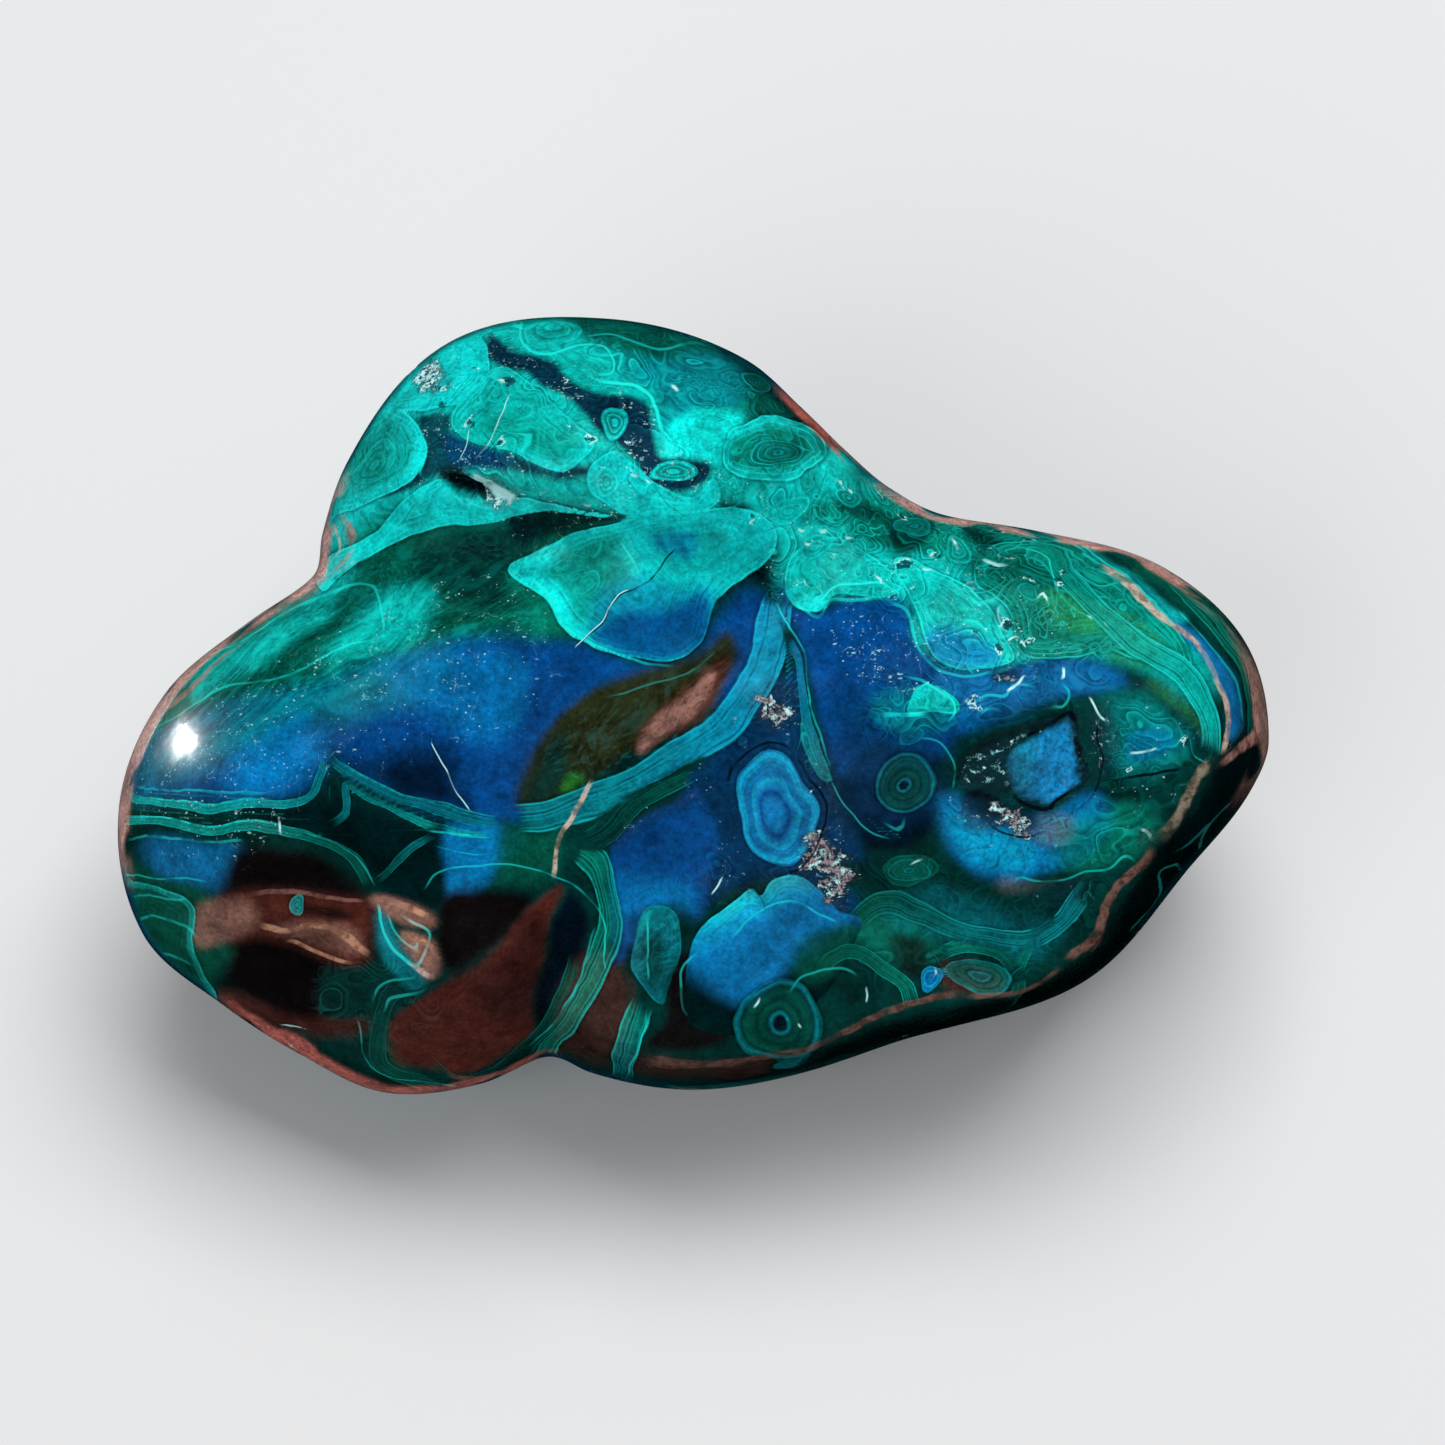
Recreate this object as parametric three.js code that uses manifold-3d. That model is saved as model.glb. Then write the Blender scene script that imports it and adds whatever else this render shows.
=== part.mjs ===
// A polished freeform of malachite with chrysocolla: one heavy three-lobed stone that rests on a flat base.
//
// The stone is laid out on its broad face. X runs along the face, Y up the face and Z straight out of it, with
// the origin where the three lobes meet. A closed outline, the girdle, runs round the face at Z = 0. The face
// swells out of the girdle, the back swells behind it, and the whole then leans back onto the flat base.
import * as THREE from "three";
import { mergeVertices } from "three/addons/utils/BufferGeometryUtils.js";
import Module from "manifold-3d";

// Driving dimensions, in millimetres and degrees.
const FACE_LEAN = 30; // the face's own Z axis, measured from straight up
const BASE_DROP = 28; // the base, measured straight down from the middle of the girdle
const BACK_DEPTH = 42; // how far the uncut back would reach behind the girdle
const BACK_FULLNESS = 1.75; // 2 is an ellipse, less tapers towards the base
const BACK_HALF_WIDTHS = [50, 36]; // the plain oval that the back settles into behind the lobes
const FACE_LEVEL = 13.5; // the face's height over the girdle before lobes and valleys
const RIM_ROUNDING = 3; // adds to the flank's roundness where it meets the girdle
const RING_COUNT = 32; // rings of the mesh from the middle of the face out to the girdle
const RINGS_AT_RIM = 0.5; // 0 spaces the rings evenly, 1 crowds them most towards the girdle

// The girdle, as [angle round the face, reach from the middle, steepness of the flank, softness of the shoulder].
// A steep flank with a hard shoulder reads as a ridge, and a gentle one with a soft shoulder as a round lobe.
const GIRDLE = [
  [0, 56.5, 2.0, 4], // tip of the right lobe
  [10, 55, 1.9, 5],
  [20, 49, 1.6, 7],
  [30, 40, 1.3, 9],
  [40, 33.5, 1.2, 10], // hollow between the right and top lobes
  [50, 31.5, 1.2, 10],
  [60, 32, 1.1, 10],
  [70, 34, 1.0, 12],
  [80, 37, 0.9, 14],
  [100, 41, 0.8, 16],
  [120, 44, 0.8, 16], // crown of the top lobe
  [140, 41.5, 0.8, 14],
  [150, 39.5, 0.8, 12],
  [156, 38.5, 0.8, 12], // hollow between the top and left lobes
  [165, 43, 0.8, 13],
  [175, 49.5, 0.8, 16],
  [187, 54, 0.8, 16], // nose of the left lobe
  [200, 54.5, 0.8, 16],
  [210, 50.5, 0.8, 15],
  [220, 47, 0.9, 14],
  [230, 44, 1.0, 12],
  [240, 38, 1.2, 8],
  [247, 33, 2.0, 5], // cleft under the left lobe
  [255, 33, 2.8, 4],
  [270, 33.5, 3.2, 3],
  [290, 34, 3.6, 3],
  [305, 35.5, 4.0, 3],
  [315, 38.5, 4.2, 3],
  [330, 45.5, 3.6, 3],
  [345, 50, 2.6, 3],
  [355, 55, 2.2, 3.5],
];

// Swellings (rise > 0) of the face: centre, half-widths along and across, turn and rise.
const FACE_LOBES = [
  { at: [-8, 27], wide: [20, 12], turn: 10, rise: 8 }, // top lobe
  { at: [-40, -6], wide: [17, 13], turn: 35, rise: 9 }, // left lobe
  { at: [-20, -22], wide: [12, 10], turn: -20, rise: 5 }, // chin of the left lobe
  { at: [28, -2], wide: [24, 15], turn: -15, rise: 6 }, // right lobe
  { at: [-6, 2], wide: [16, 10], turn: 30, rise: 3 }, // saddle in the middle
];

// Valleys of the face: a straight run from one point to another, half-width and depth.
const FACE_VALLEYS = [
  { from: [-36, 17], to: [-12, 19], wide: 6, deep: 4 }, // between the left and top lobes
  { from: [24, 26], to: [10, 14], wide: 8, deep: 4 }, // between the top and right lobes
  { from: [-13, -32], to: [-9, -21], wide: 4.5, deep: 3 }, // up from the cleft
];

// Natural openings in the polished skin: centre on the face, half-sizes along, across and into it, and turn.
const PITS = [
  { at: [-19.8, 23.3], half: [2.3, 0.8, 3.2], turn: -28 }, // slot vug, deep end
  { at: [-17.5, 22.9], half: [2.4, 1.0, 1.1], turn: -22 }, // slot vug, shallow end
  { at: [30.1, 6.1], half: [1.7, 0.8, 1.1], turn: 5 },
  { at: [34.2, 6.6], half: [0.8, 0.6, 0.8], turn: 40 },
];

// The broken hollow, where a flat slab is gone: its corners round the face, its depth, and how its floor dips.
const HOLLOW_CORNERS = [
  [25.3, -4.0],
  [25.7, -1.9],
  [28.0, 0.2],
  [31.7, 1.7],
  [36.0, 2.5],
  [36.8, 0.6],
  [37.2, -2.9],
  [36.8, -4.0],
  [34.2, -5.9],
  [32.6, -5.7],
  [30.3, -5.0],
  [28.0, -4.6],
];
const HOLLOW_DEPTH = 0.9;
const HOLLOW_DIP = -5; // deeper towards the top

const { degToRad, radToDeg, clamp, lerp } = THREE.MathUtils;

/** A column of GIRDLE at any angle in degrees: a cubic through its rows that closes on itself. */
function girdle(angle, column) {
  const count = GIRDLE.length;
  const degrees = ((angle % 360) + 360) % 360;
  let i = count - 1;
  while (GIRDLE[i][0] > degrees) i -= 1;
  const angleOf = (k) => GIRDLE[(k + count) % count][0] + 360 * Math.floor(k / count);
  const valueOf = (k) => GIRDLE[(k + count) % count][column];
  const slopeAt = (k) => (valueOf(k + 1) - valueOf(k - 1)) / (angleOf(k + 1) - angleOf(k - 1));
  const span = angleOf(i + 1) - angleOf(i);
  const t = (degrees - angleOf(i)) / span;
  const fromStart = (1 + 2 * t) * (1 - t) ** 2 * valueOf(i) + t * (1 - t) ** 2 * span * slopeAt(i);
  const fromEnd = (3 - 2 * t) * t ** 2 * valueOf(i + 1) - (1 - t) * t ** 2 * span * slopeAt(i + 1);
  return fromStart + fromEnd;
}

/** The lower of two heights, with the corner between them rounded over a span of about `soft`. */
function softMin(a, b, soft) {
  const blend = Math.max(soft - Math.abs(a - b), 0) / soft;
  return Math.min(a, b) - (blend ** 2 * soft) / 4;
}

/** Height of the open face over the girdle plane at (x, y), before the flank cuts it off. */
function faceHeight(x, y) {
  let z = FACE_LEVEL;
  for (const { at, wide, turn, rise } of FACE_LOBES) {
    const [c, s] = [Math.cos(degToRad(turn)), Math.sin(degToRad(turn))];
    const u = ((x - at[0]) * c + (y - at[1]) * s) / wide[0];
    const v = ((y - at[1]) * c - (x - at[0]) * s) / wide[1];
    z += rise * Math.exp(-u * u - v * v);
  }
  for (const { from, to, wide, deep } of FACE_VALLEYS) {
    const run = [to[0] - from[0], to[1] - from[1]];
    const along = ((x - from[0]) * run[0] + (y - from[1]) * run[1]) / (run[0] ** 2 + run[1] ** 2);
    const t = clamp(along, 0, 1);
    const away = Math.hypot(x - from[0] - t * run[0], y - from[1] - t * run[1]) / wide;
    z -= deep * Math.exp(-away * away);
  }
  return z;
}

/** A point of the face, `share` of the way from its middle out to the girdle. */
function facePoint(angle, share) {
  const degrees = radToDeg(angle);
  const reach = girdle(degrees, 1);
  const steep = girdle(degrees, 2);
  const soft = girdle(degrees, 3);
  const x = share * reach * Math.cos(angle);
  const y = share * reach * Math.sin(angle);
  const inward = (1 - share) * reach;
  const flank = Math.sqrt((steep * inward) ** 2 + 2 * (RIM_ROUNDING + soft) * inward);
  const shoulder = Math.min(soft, 2 * flank + 1e-6); // shrinks towards the girdle, where the face meets the back
  return new THREE.Vector3(x, y, softMin(faceHeight(x, y), flank, shoulder));
}

/** A point of the back, `share` of the way out to the girdle, where the lobes fade into a plain oval. */
function backPoint(angle, share) {
  const [halfX, halfY] = BACK_HALF_WIDTHS;
  const oval = 1 / Math.hypot(Math.cos(angle) / halfX, Math.sin(angle) / halfY);
  const reach = lerp(oval, girdle(radToDeg(angle), 1), share ** 3);
  const depth = BACK_DEPTH * (1 - share ** BACK_FULLNESS) ** (1 / BACK_FULLNESS);
  return new THREE.Vector3(share * reach * Math.cos(angle), share * reach * Math.sin(angle), -depth);
}

/** Height of the face at (x, y), flank included. */
function skinHeight(x, y) {
  const angle = Math.atan2(y, x);
  return facePoint(angle, Math.hypot(x, y) / girdle(radToDeg(angle), 1)).z;
}

/** The direction straight out of the face at (x, y). */
function skinNormal(x, y) {
  const step = 0.5;
  const slopeX = (skinHeight(x + step, y) - skinHeight(x - step, y)) / (2 * step);
  const slopeY = (skinHeight(x, y + step) - skinHeight(x, y - step)) / (2 * step);
  return new THREE.Vector3(-slopeX, -slopeY, 1).normalize();
}

/**
 * The uncut stone. It starts as an octahedron, whose rows of vertices become rings: the pole in front is the
 * middle of the face, the equator is the girdle, and the pole behind is the deepest point of the back.
 */
function swollenStone() {
  const geometry = new THREE.OctahedronGeometry(1, RING_COUNT - 1);
  const position = geometry.getAttribute("position");
  const ray = new THREE.Vector3();
  for (let i = 0; i < position.count; i += 1) {
    ray.fromBufferAttribute(position, i);
    const flat = Math.abs(ray.x) + Math.abs(ray.y);
    const ring = flat / (flat + Math.abs(ray.z));
    const share = Math.min(1, lerp(ring, Math.sin((ring * Math.PI) / 2), RINGS_AT_RIM));
    const angle = Math.atan2(ray.y, ray.x);
    const point = ray.z >= 0 ? facePoint(angle, share) : backPoint(angle, share);
    position.setXYZ(i, point.x, point.y, point.z);
  }
  return geometry;
}

/** Stands a tool on the face at (x, y), with its own Z axis straight out of the skin. */
function placeOnFace(geometry, [x, y]) {
  const outward = new THREE.Quaternion().setFromUnitVectors(new THREE.Vector3(0, 0, 1), skinNormal(x, y));
  return geometry.applyQuaternion(outward).translate(x, y, skinHeight(x, y));
}

/** The tool that opens one rounded pit. */
function pitTool({ at, half, turn }) {
  const [around, over] = [20, 12];
  const geometry = new THREE.SphereGeometry(1, around, over).scale(...half).rotateZ(degToRad(turn));
  return placeOnFace(geometry, at);
}

/** The tool that takes the slab out of the broken hollow. */
function hollowTool() {
  const middle = [0, 1].map((k) => HOLLOW_CORNERS.reduce((sum, p) => sum + p[k], 0) / HOLLOW_CORNERS.length);
  const outline = HOLLOW_CORNERS.map(([x, y]) => new THREE.Vector2(x - middle[0], y - middle[1]));
  const clearHeight = 6;
  const geometry = new THREE.ExtrudeGeometry(new THREE.Shape(outline), { depth: clearHeight, bevelEnabled: false });
  geometry.translate(0, 0, -HOLLOW_DEPTH).rotateX(degToRad(HOLLOW_DIP));
  return placeOnFace(geometry, middle);
}

const wasm = await Module();
wasm.setup();

/** A closed three.js geometry as a manifold-3d solid. */
function solidOf(geometry) {
  const bare = geometry.clone().deleteAttribute("normal").deleteAttribute("uv");
  const merged = mergeVertices(bare, 1e-4);
  return new wasm.Manifold(
    new wasm.Mesh({
      numProp: 3,
      vertProperties: merged.getAttribute("position").array,
      triVerts: new Uint32Array(merged.index.array),
    }),
  );
}

/** A manifold-3d solid as a three.js geometry. */
function geometryOf(solid) {
  const { vertProperties, triVerts } = solid.getMesh();
  const geometry = new THREE.BufferGeometry();
  geometry.setAttribute("position", new THREE.BufferAttribute(vertProperties, 3));
  return geometry.setIndex(new THREE.BufferAttribute(triVerts, 1));
}

/** The finished stone in the part's own frame: base at Z = 0, origin under the middle of its bounding box. */
function stoneGeometry() {
  const tools = [...PITS.map(pitTool), hollowTool()];
  const opened = tools.reduce((stone, tool) => stone.subtract(solidOf(tool)), solidOf(swollenStone()));
  const leaning = geometryOf(opened).rotateX(degToRad(FACE_LEAN));

  const floorSize = 400;
  const floor = new THREE.BoxGeometry(floorSize, floorSize, floorSize);
  floor.translate(0, 0, -BASE_DROP - floorSize / 2);
  const resting = geometryOf(solidOf(leaning).subtract(solidOf(floor)));

  resting.computeBoundingBox();
  const middle = resting.boundingBox.getCenter(new THREE.Vector3());
  return resting.translate(-middle.x, -middle.y, BASE_DROP);
}

const polishedStone = new THREE.MeshStandardMaterial({ color: 0x0b6f74, roughness: 0.12, metalness: 0 });

const stone = new THREE.Mesh(stoneGeometry(), polishedStone);
stone.name = "stone";

const specimen = new THREE.Group();
specimen.add(stone);

export default specimen;
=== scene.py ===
# %% [markdown]
# # A polished stone of malachite and chrysocolla
#
# One heavy freeform stone, cut and polished by hand, rests on a flat base. Nearly all that makes it this
# stone is colour: green growth bands, blue pools, small ringed eyes and thin bright lines. The shape is only
# three soft lobes. So the plan is: a fine mesh that follows the solid, a pattern that numpy lays out on its
# vertices as distances and soft tints, and a material that turns those into sharp lines.
#
# Lengths are in millimetres until a mesh is made, because a polished stone is measured in them.

# %% Load the solid frame
from functools import reduce
import bpy
import numpy as np
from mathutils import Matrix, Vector


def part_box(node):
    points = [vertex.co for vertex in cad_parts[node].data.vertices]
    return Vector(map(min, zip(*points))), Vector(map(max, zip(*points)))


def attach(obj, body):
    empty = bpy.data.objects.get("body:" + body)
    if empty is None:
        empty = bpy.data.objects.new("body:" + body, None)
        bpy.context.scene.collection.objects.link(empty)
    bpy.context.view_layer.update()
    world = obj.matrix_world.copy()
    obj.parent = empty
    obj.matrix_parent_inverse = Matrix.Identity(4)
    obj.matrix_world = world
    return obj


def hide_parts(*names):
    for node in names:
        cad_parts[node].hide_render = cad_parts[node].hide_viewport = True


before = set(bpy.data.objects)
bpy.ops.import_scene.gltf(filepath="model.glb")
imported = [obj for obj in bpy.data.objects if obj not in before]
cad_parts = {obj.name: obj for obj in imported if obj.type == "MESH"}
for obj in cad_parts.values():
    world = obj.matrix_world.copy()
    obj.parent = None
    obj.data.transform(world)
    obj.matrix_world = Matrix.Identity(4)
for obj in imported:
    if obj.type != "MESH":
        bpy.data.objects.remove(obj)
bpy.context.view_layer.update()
MM = 0.001  # metres in a millimetre
stone_box = np.array(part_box("stone")) / MM
print("the solid stone measures", np.round(stone_box[1] - stone_box[0], 1), "mm")

# %% [markdown]
# ## The stone's own axes
#
# The stone has a broad polished face that leans back. It is easiest to describe lying on that face: X runs
# along it, Y up it and Z straight out of it, from the point where the three lobes meet. The girdle is the
# closed outline at Z = 0. In front of it the face swells out, and behind it the back does.
#
# A table could hold every point of such an outline, but a cubic through a few of them gives the same curve
# and says what each stretch is for.

# %% The driving sizes and the girdle
FACE_LEAN = np.radians(30)  # the face's own Z axis, measured from straight up
BASE_DROP = 28.0  # the base, measured straight down from the middle of the girdle
BACK_DEPTH = 42.0
BACK_FULLNESS = 1.75  # 2 is an ellipse, less tapers towards the base
BACK_HALF_WIDTHS = (50.0, 36.0)  # the plain oval that the back settles into behind the lobes
FACE_LEVEL = 13.5  # the face's height over the girdle before lobes and valleys
RIM_ROUNDING = 3.0

# Each row: angle round the face in degrees, reach, steepness of the flank, softness of the shoulder.
GIRDLE = np.array([
    [0, 56.5, 2.0, 4], [10, 55, 1.9, 5], [20, 49, 1.6, 7], [30, 40, 1.3, 9],  # right lobe
    [40, 33.5, 1.2, 10], [50, 31.5, 1.2, 10], [60, 32, 1.1, 10], [70, 34, 1.0, 12],  # upper right hollow
    [80, 37, 0.9, 14], [100, 41, 0.8, 16], [120, 44, 0.8, 16], [140, 41.5, 0.8, 14],  # top lobe
    [150, 39.5, 0.8, 12], [156, 38.5, 0.8, 12], [165, 43, 0.8, 13],  # upper left hollow
    [175, 49.5, 0.8, 16], [187, 54, 0.8, 16], [200, 54.5, 0.8, 16], [210, 50.5, 0.8, 15],  # left lobe
    [220, 47, 0.9, 14], [230, 44, 1.0, 12], [240, 38, 1.2, 8], [247, 33, 2.0, 5], [255, 33, 2.8, 4],  # cleft
    [270, 33.5, 3.2, 3], [290, 34, 3.6, 3], [305, 35.5, 4.0, 3], [315, 38.5, 4.2, 3],  # ridge
    [330, 45.5, 3.6, 3], [345, 50, 2.6, 3], [355, 55, 2.2, 3.5],  # back to the right lobe's tip
])


def girdle(angle, column):
    """A column of GIRDLE at any angle: a cubic through its rows that closes on itself.

    Each stretch leaves and meets its rows at the slope between that row's two neighbours.
    """
    rows = np.vstack([GIRDLE[-2:], GIRDLE, GIRDLE[:2]])
    at = rows[:, 0].copy()
    at[:2] -= 360
    at[-2:] += 360
    value = rows[:, column]
    slope = (value[2:] - value[:-2]) / (at[2:] - at[:-2])  # slope[k] belongs to row k + 1
    degrees = np.degrees(angle) % 360
    i = np.searchsorted(at, degrees, side="right") - 1
    span = at[i + 1] - at[i]
    t = (degrees - at[i]) / span
    start = (1 + 2 * t) * (1 - t) ** 2 * value[i] + t * (1 - t) ** 2 * span * slope[i - 1]
    end = (3 - 2 * t) * t ** 2 * value[i + 1] - (1 - t) * t ** 2 * span * slope[i]
    return start + end


print("the girdle reaches", round(float(girdle(np.radians(200), 1)), 1), "mm at the left lobe's nose")

# %% [markdown]
# ## The skin
#
# The face is a low hill: one level, a few swellings and a few valleys, each a smooth bell curve. The flank
# that comes up from the girdle cuts it off, and the lower of the two heights wins, with the corner between
# them rounded. A soft corner reads as a round lobe and a hard one as the ridge along the lower right.

# %% Swellings, valleys and the skin formula
# Centre, half-widths along and across, turn in degrees, rise.
FACE_LOBES = [
    ((-8, 27), (20, 12), 10, 8),  # top lobe
    ((-40, -6), (17, 13), 35, 9),  # left lobe
    ((-20, -22), (12, 10), -20, 5),  # chin of the left lobe
    ((28, -2), (24, 15), -15, 6),  # right lobe
    ((-6, 2), (16, 10), 30, 3),  # saddle in the middle
]
# From, to, half-width, depth.
FACE_VALLEYS = [
    ((-36, 17), (-12, 19), 6.0, 4.0),  # between the left and top lobes
    ((24, 26), (10, 14), 8.0, 4.0),  # between the top and right lobes
    ((-13, -32), (-9, -21), 4.5, 3.0),  # up from the cleft
]


def soft_min(a, b, soft):
    """The lower of two heights, less the square of their overlap, which rounds the corner between them."""
    blend = np.maximum(soft - np.abs(a - b), 0) / soft
    return np.minimum(a, b) - blend ** 2 * soft / 4


def turned(x, y, centre, degrees):
    """The point (x, y) as seen from axes at `centre` that are turned by `degrees`."""
    c, s = np.cos(np.radians(degrees)), np.sin(np.radians(degrees))
    dx, dy = x - centre[0], y - centre[1]
    return dx * c + dy * s, dy * c - dx * s


def open_face_height(x, y):
    """The face before the flank cuts it: the level, plus each swelling's bell, less each valley's bell."""
    z = np.full(x.shape, FACE_LEVEL)
    for centre, (along, across), turn, rise in FACE_LOBES:
        u, v = turned(x, y, centre, turn)
        z += rise * np.exp(-(u / along) ** 2 - (v / across) ** 2)
    for (x0, y0), (x1, y1), half_width, depth in FACE_VALLEYS:
        run_x, run_y = x1 - x0, y1 - y0
        t = np.clip(((x - x0) * run_x + (y - y0) * run_y) / (run_x ** 2 + run_y ** 2), 0, 1)
        away = np.hypot(x - x0 - t * run_x, y - y0 - t * run_y) / half_width
        z -= depth * np.exp(-away ** 2)
    return z


def face_points(angle, share):
    """The face at `share` of the way from its middle to the girdle: the lower of hill and flank.

    The flank rises from the girdle as a hyperbola: round at first, then straight at its steepness.
    """
    reach, steep, soft = (girdle(angle, column) for column in (1, 2, 3))
    x, y = share * reach * np.cos(angle), share * reach * np.sin(angle)
    inward = np.maximum(1 - share, 0) * reach
    flank = np.sqrt((steep * inward) ** 2 + 2 * (RIM_ROUNDING + soft) * inward)
    z = soft_min(open_face_height(x, y), flank, np.minimum(soft, 2 * flank + 1e-6))
    return np.stack([x, y, z], axis=-1)


def back_points(angle, share):
    """The back: a superellipse in depth, over an outline that fades from the girdle to a plain oval."""
    half_x, half_y = BACK_HALF_WIDTHS
    oval = 1 / np.hypot(np.cos(angle) / half_x, np.sin(angle) / half_y)
    reach = oval + share ** 3 * (girdle(angle, 1) - oval)
    depth = BACK_DEPTH * np.maximum(1 - share ** BACK_FULLNESS, 0) ** (1 / BACK_FULLNESS)
    return np.stack([share * reach * np.cos(angle), share * reach * np.sin(angle), -depth], axis=-1)


# %% [markdown]
# ## The mesh
#
# A ball's usual net of rings and spokes crowds its vertices at the poles. Here each half starts as a square
# grid instead, and the square is eased into a disc, so the quads stay even. The face needs the finer net,
# because its pattern is looked at closely, and the back gets half as many squares each way. Where the two
# meet, every second vertex of the girdle sits in the middle of a back quad's edge, which makes that quad a
# five-sided one, so the skin stays closed.

# %% Two square grids, one skin
FACE_SQUARES = 276  # squares along each side of the face's grid, an even number
RINGS_AT_RIM = 0.3  # 0 spaces the rings evenly, 1 crowds them most towards the girdle


def disc_grid(squares):
    """Angle and radius of a square grid eased into a disc.

    The radius is the larger of |u| and |v|, and the angle runs evenly along each side of the square.
    """
    line = np.linspace(-1, 1, squares + 1)
    u, v = np.meshgrid(line, line, indexing="ij")
    radius = np.maximum(np.abs(u), np.abs(v))
    wide = np.abs(u) >= np.abs(v)
    safe_u = np.where(wide & (u != 0), u, 1)
    safe_v = np.where(~wide, v, 1)
    angle = np.where(wide, np.pi / 4 * v / safe_u + np.pi * (u < 0),
                     np.pi / 2 - np.pi / 4 * u / safe_v + np.pi * (v < 0))
    return angle, radius


def ring_share(radius, crowding):
    """How far out a ring lies: its radius, eased towards a quarter sine wave that slows at the rim."""
    return radius + crowding * (np.sin(radius * np.pi / 2) - radius)


face_angle, face_radius = disc_grid(FACE_SQUARES)
face_share = ring_share(face_radius, RINGS_AT_RIM)
back_squares = FACE_SQUARES // 2
back_angle, back_radius = disc_grid(back_squares)
back_share = ring_share(back_radius, 0.5)
rim = back_radius > 1 - 1e-9  # the back's outermost vertices are the face's, every second one

face_index = np.arange(face_angle.size).reshape(face_angle.shape)
back_index = np.zeros(back_angle.shape, dtype=int)
back_index[rim] = face_index[::2, ::2][rim]
back_index[~rim] = face_angle.size + np.arange(np.count_nonzero(~rim))

skin = np.vstack([face_points(face_angle, face_share).reshape(-1, 3),
                  back_points(back_angle, back_share)[~rim]])
share = np.concatenate([face_share.ravel(), back_share[~rim]])  # 1 on the girdle, 0 in both middles
on_face = np.arange(len(skin)) < face_angle.size
print(len(skin), "vertices,", np.count_nonzero(on_face), "of them on the face")

# %% Faces of the two grids
def quads_of(index):
    """The corners of every square of a grid of vertex numbers, anticlockwise as seen from +Z."""
    return np.stack([index[:-1, :-1], index[1:, :-1], index[1:, 1:], index[:-1, 1:]], axis=-1)


face_quads = quads_of(face_index).reshape(-1, 4)
back_quads = quads_of(back_index)
# The vertex of the finer girdle that halves each edge of a back quad, or -1 where the edge isn't on the rim.
halfway = np.full(back_quads.shape, -1)
halfway[:, 0, 0] = face_index[1::2, 0]
halfway[-1, :, 1] = face_index[-1, 1::2]
halfway[:, -1, 2] = face_index[1::2, -1]
halfway[0, :, 3] = face_index[0, 1::2]
back_loops = np.stack([back_quads, halfway], axis=-1).reshape(-1, 8)[:, ::-1]  # reversed, to face backwards
at_rim = (back_loops >= 0).sum(axis=1) > 4
inner_quads = back_loops[~at_rim]
inner_quads = inner_quads[inner_quads >= 0].reshape(-1, 4)
rim_faces = [loop[loop >= 0].tolist() for loop in back_loops[at_rim]]
faces = face_quads.tolist() + inner_quads.tolist() + rim_faces
print(len(faces), "faces, about", 2 * (len(face_quads) + len(inner_quads)) + 3 * len(rim_faces), "triangles")

# %% [markdown]
# ## Curves for laying out the pattern
#
# The pattern is laid out flat, as it looks from a point far out in front of the face, and each vertex of the
# face finds its own place in that layout. A line drawn with colours on vertices would be blurred, because
# vertices are 0.3 mm apart and the finest lines are thinner. A distance isn't: it changes evenly across the
# surface, so the material can read it between the vertices too and cut a sharp line from it. So every outline
# here is turned into distances.

# %% Smooth curves and distances
VIEW_CENTRE = np.array([4.1, 1.7])  # the point of the face that the layout is seen from
VIEW_HEIGHT = 385.0  # and how far out in front of the girdle it is
FAR = 99.0  # stands for "nowhere near" in a distance


def smooth_curve(points, closed, steps=9):
    """Points along a smooth curve through `points`.

    Between two neighbours it is a cubic whose slopes are half the step between the points on either side.
    """
    p = np.array(points, dtype=float)
    before, after = np.roll(p, 1, axis=0), np.roll(p, -1, axis=0)
    if not closed:
        before[0], after[-1] = 2 * p[0] - p[1], 2 * p[-1] - p[-2]
    slope = (after - before) / 2
    t = np.linspace(0, 1, steps, endpoint=False)[None, :, None]
    start, end = p[:, None], np.roll(p, -1, axis=0)[:, None]
    leave, arrive = slope[:, None], np.roll(slope, -1, axis=0)[:, None]
    cubic = ((1 + 2 * t) * (1 - t) ** 2 * start + t * (1 - t) ** 2 * leave
             + (3 - 2 * t) * t ** 2 * end - (1 - t) * t ** 2 * arrive)
    if closed:
        return cubic.reshape(-1, 2)
    return np.vstack([cubic[:-1].reshape(-1, 2), p[-1]])


def measure(at, curve, closed, margin):
    """Distance from each point to a curve, the side it lies on, and how far along the nearest point is.

    The side is +1 on the left of the curve's run. Along runs from 0 to 1. Points further than `margin` from
    the curve's own box are left out and get FAR.
    """
    ends = np.roll(curve, -1, axis=0) if closed else curve[1:]
    starts = curve if closed else curve[:-1]
    low, high = curve.min(axis=0) - margin, curve.max(axis=0) + margin
    near = np.flatnonzero(np.all((at > low) & (at < high), axis=1))
    distance, side, along = np.full(len(at), FAR), np.ones(len(at)), np.zeros(len(at))
    run = ends - starts
    length = np.linalg.norm(run, axis=1)
    offset = at[near, None] - starts[None]
    t = np.clip((offset * run).sum(axis=2) / length ** 2, 0, 1)
    gap = np.linalg.norm(offset - t[..., None] * run, axis=2)
    best = gap.argmin(axis=1)
    row = np.arange(len(near))
    distance[near] = gap[row, best]
    cross = run[best, 0] * offset[row, best, 1] - run[best, 1] * offset[row, best, 0]
    side[near] = np.where(cross >= 0, 1, -1)
    walked = np.concatenate([[0], np.cumsum(length)])
    along[near] = (walked[best] + t[row, best] * length[best]) / walked[-1]
    return distance, side, along


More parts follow.
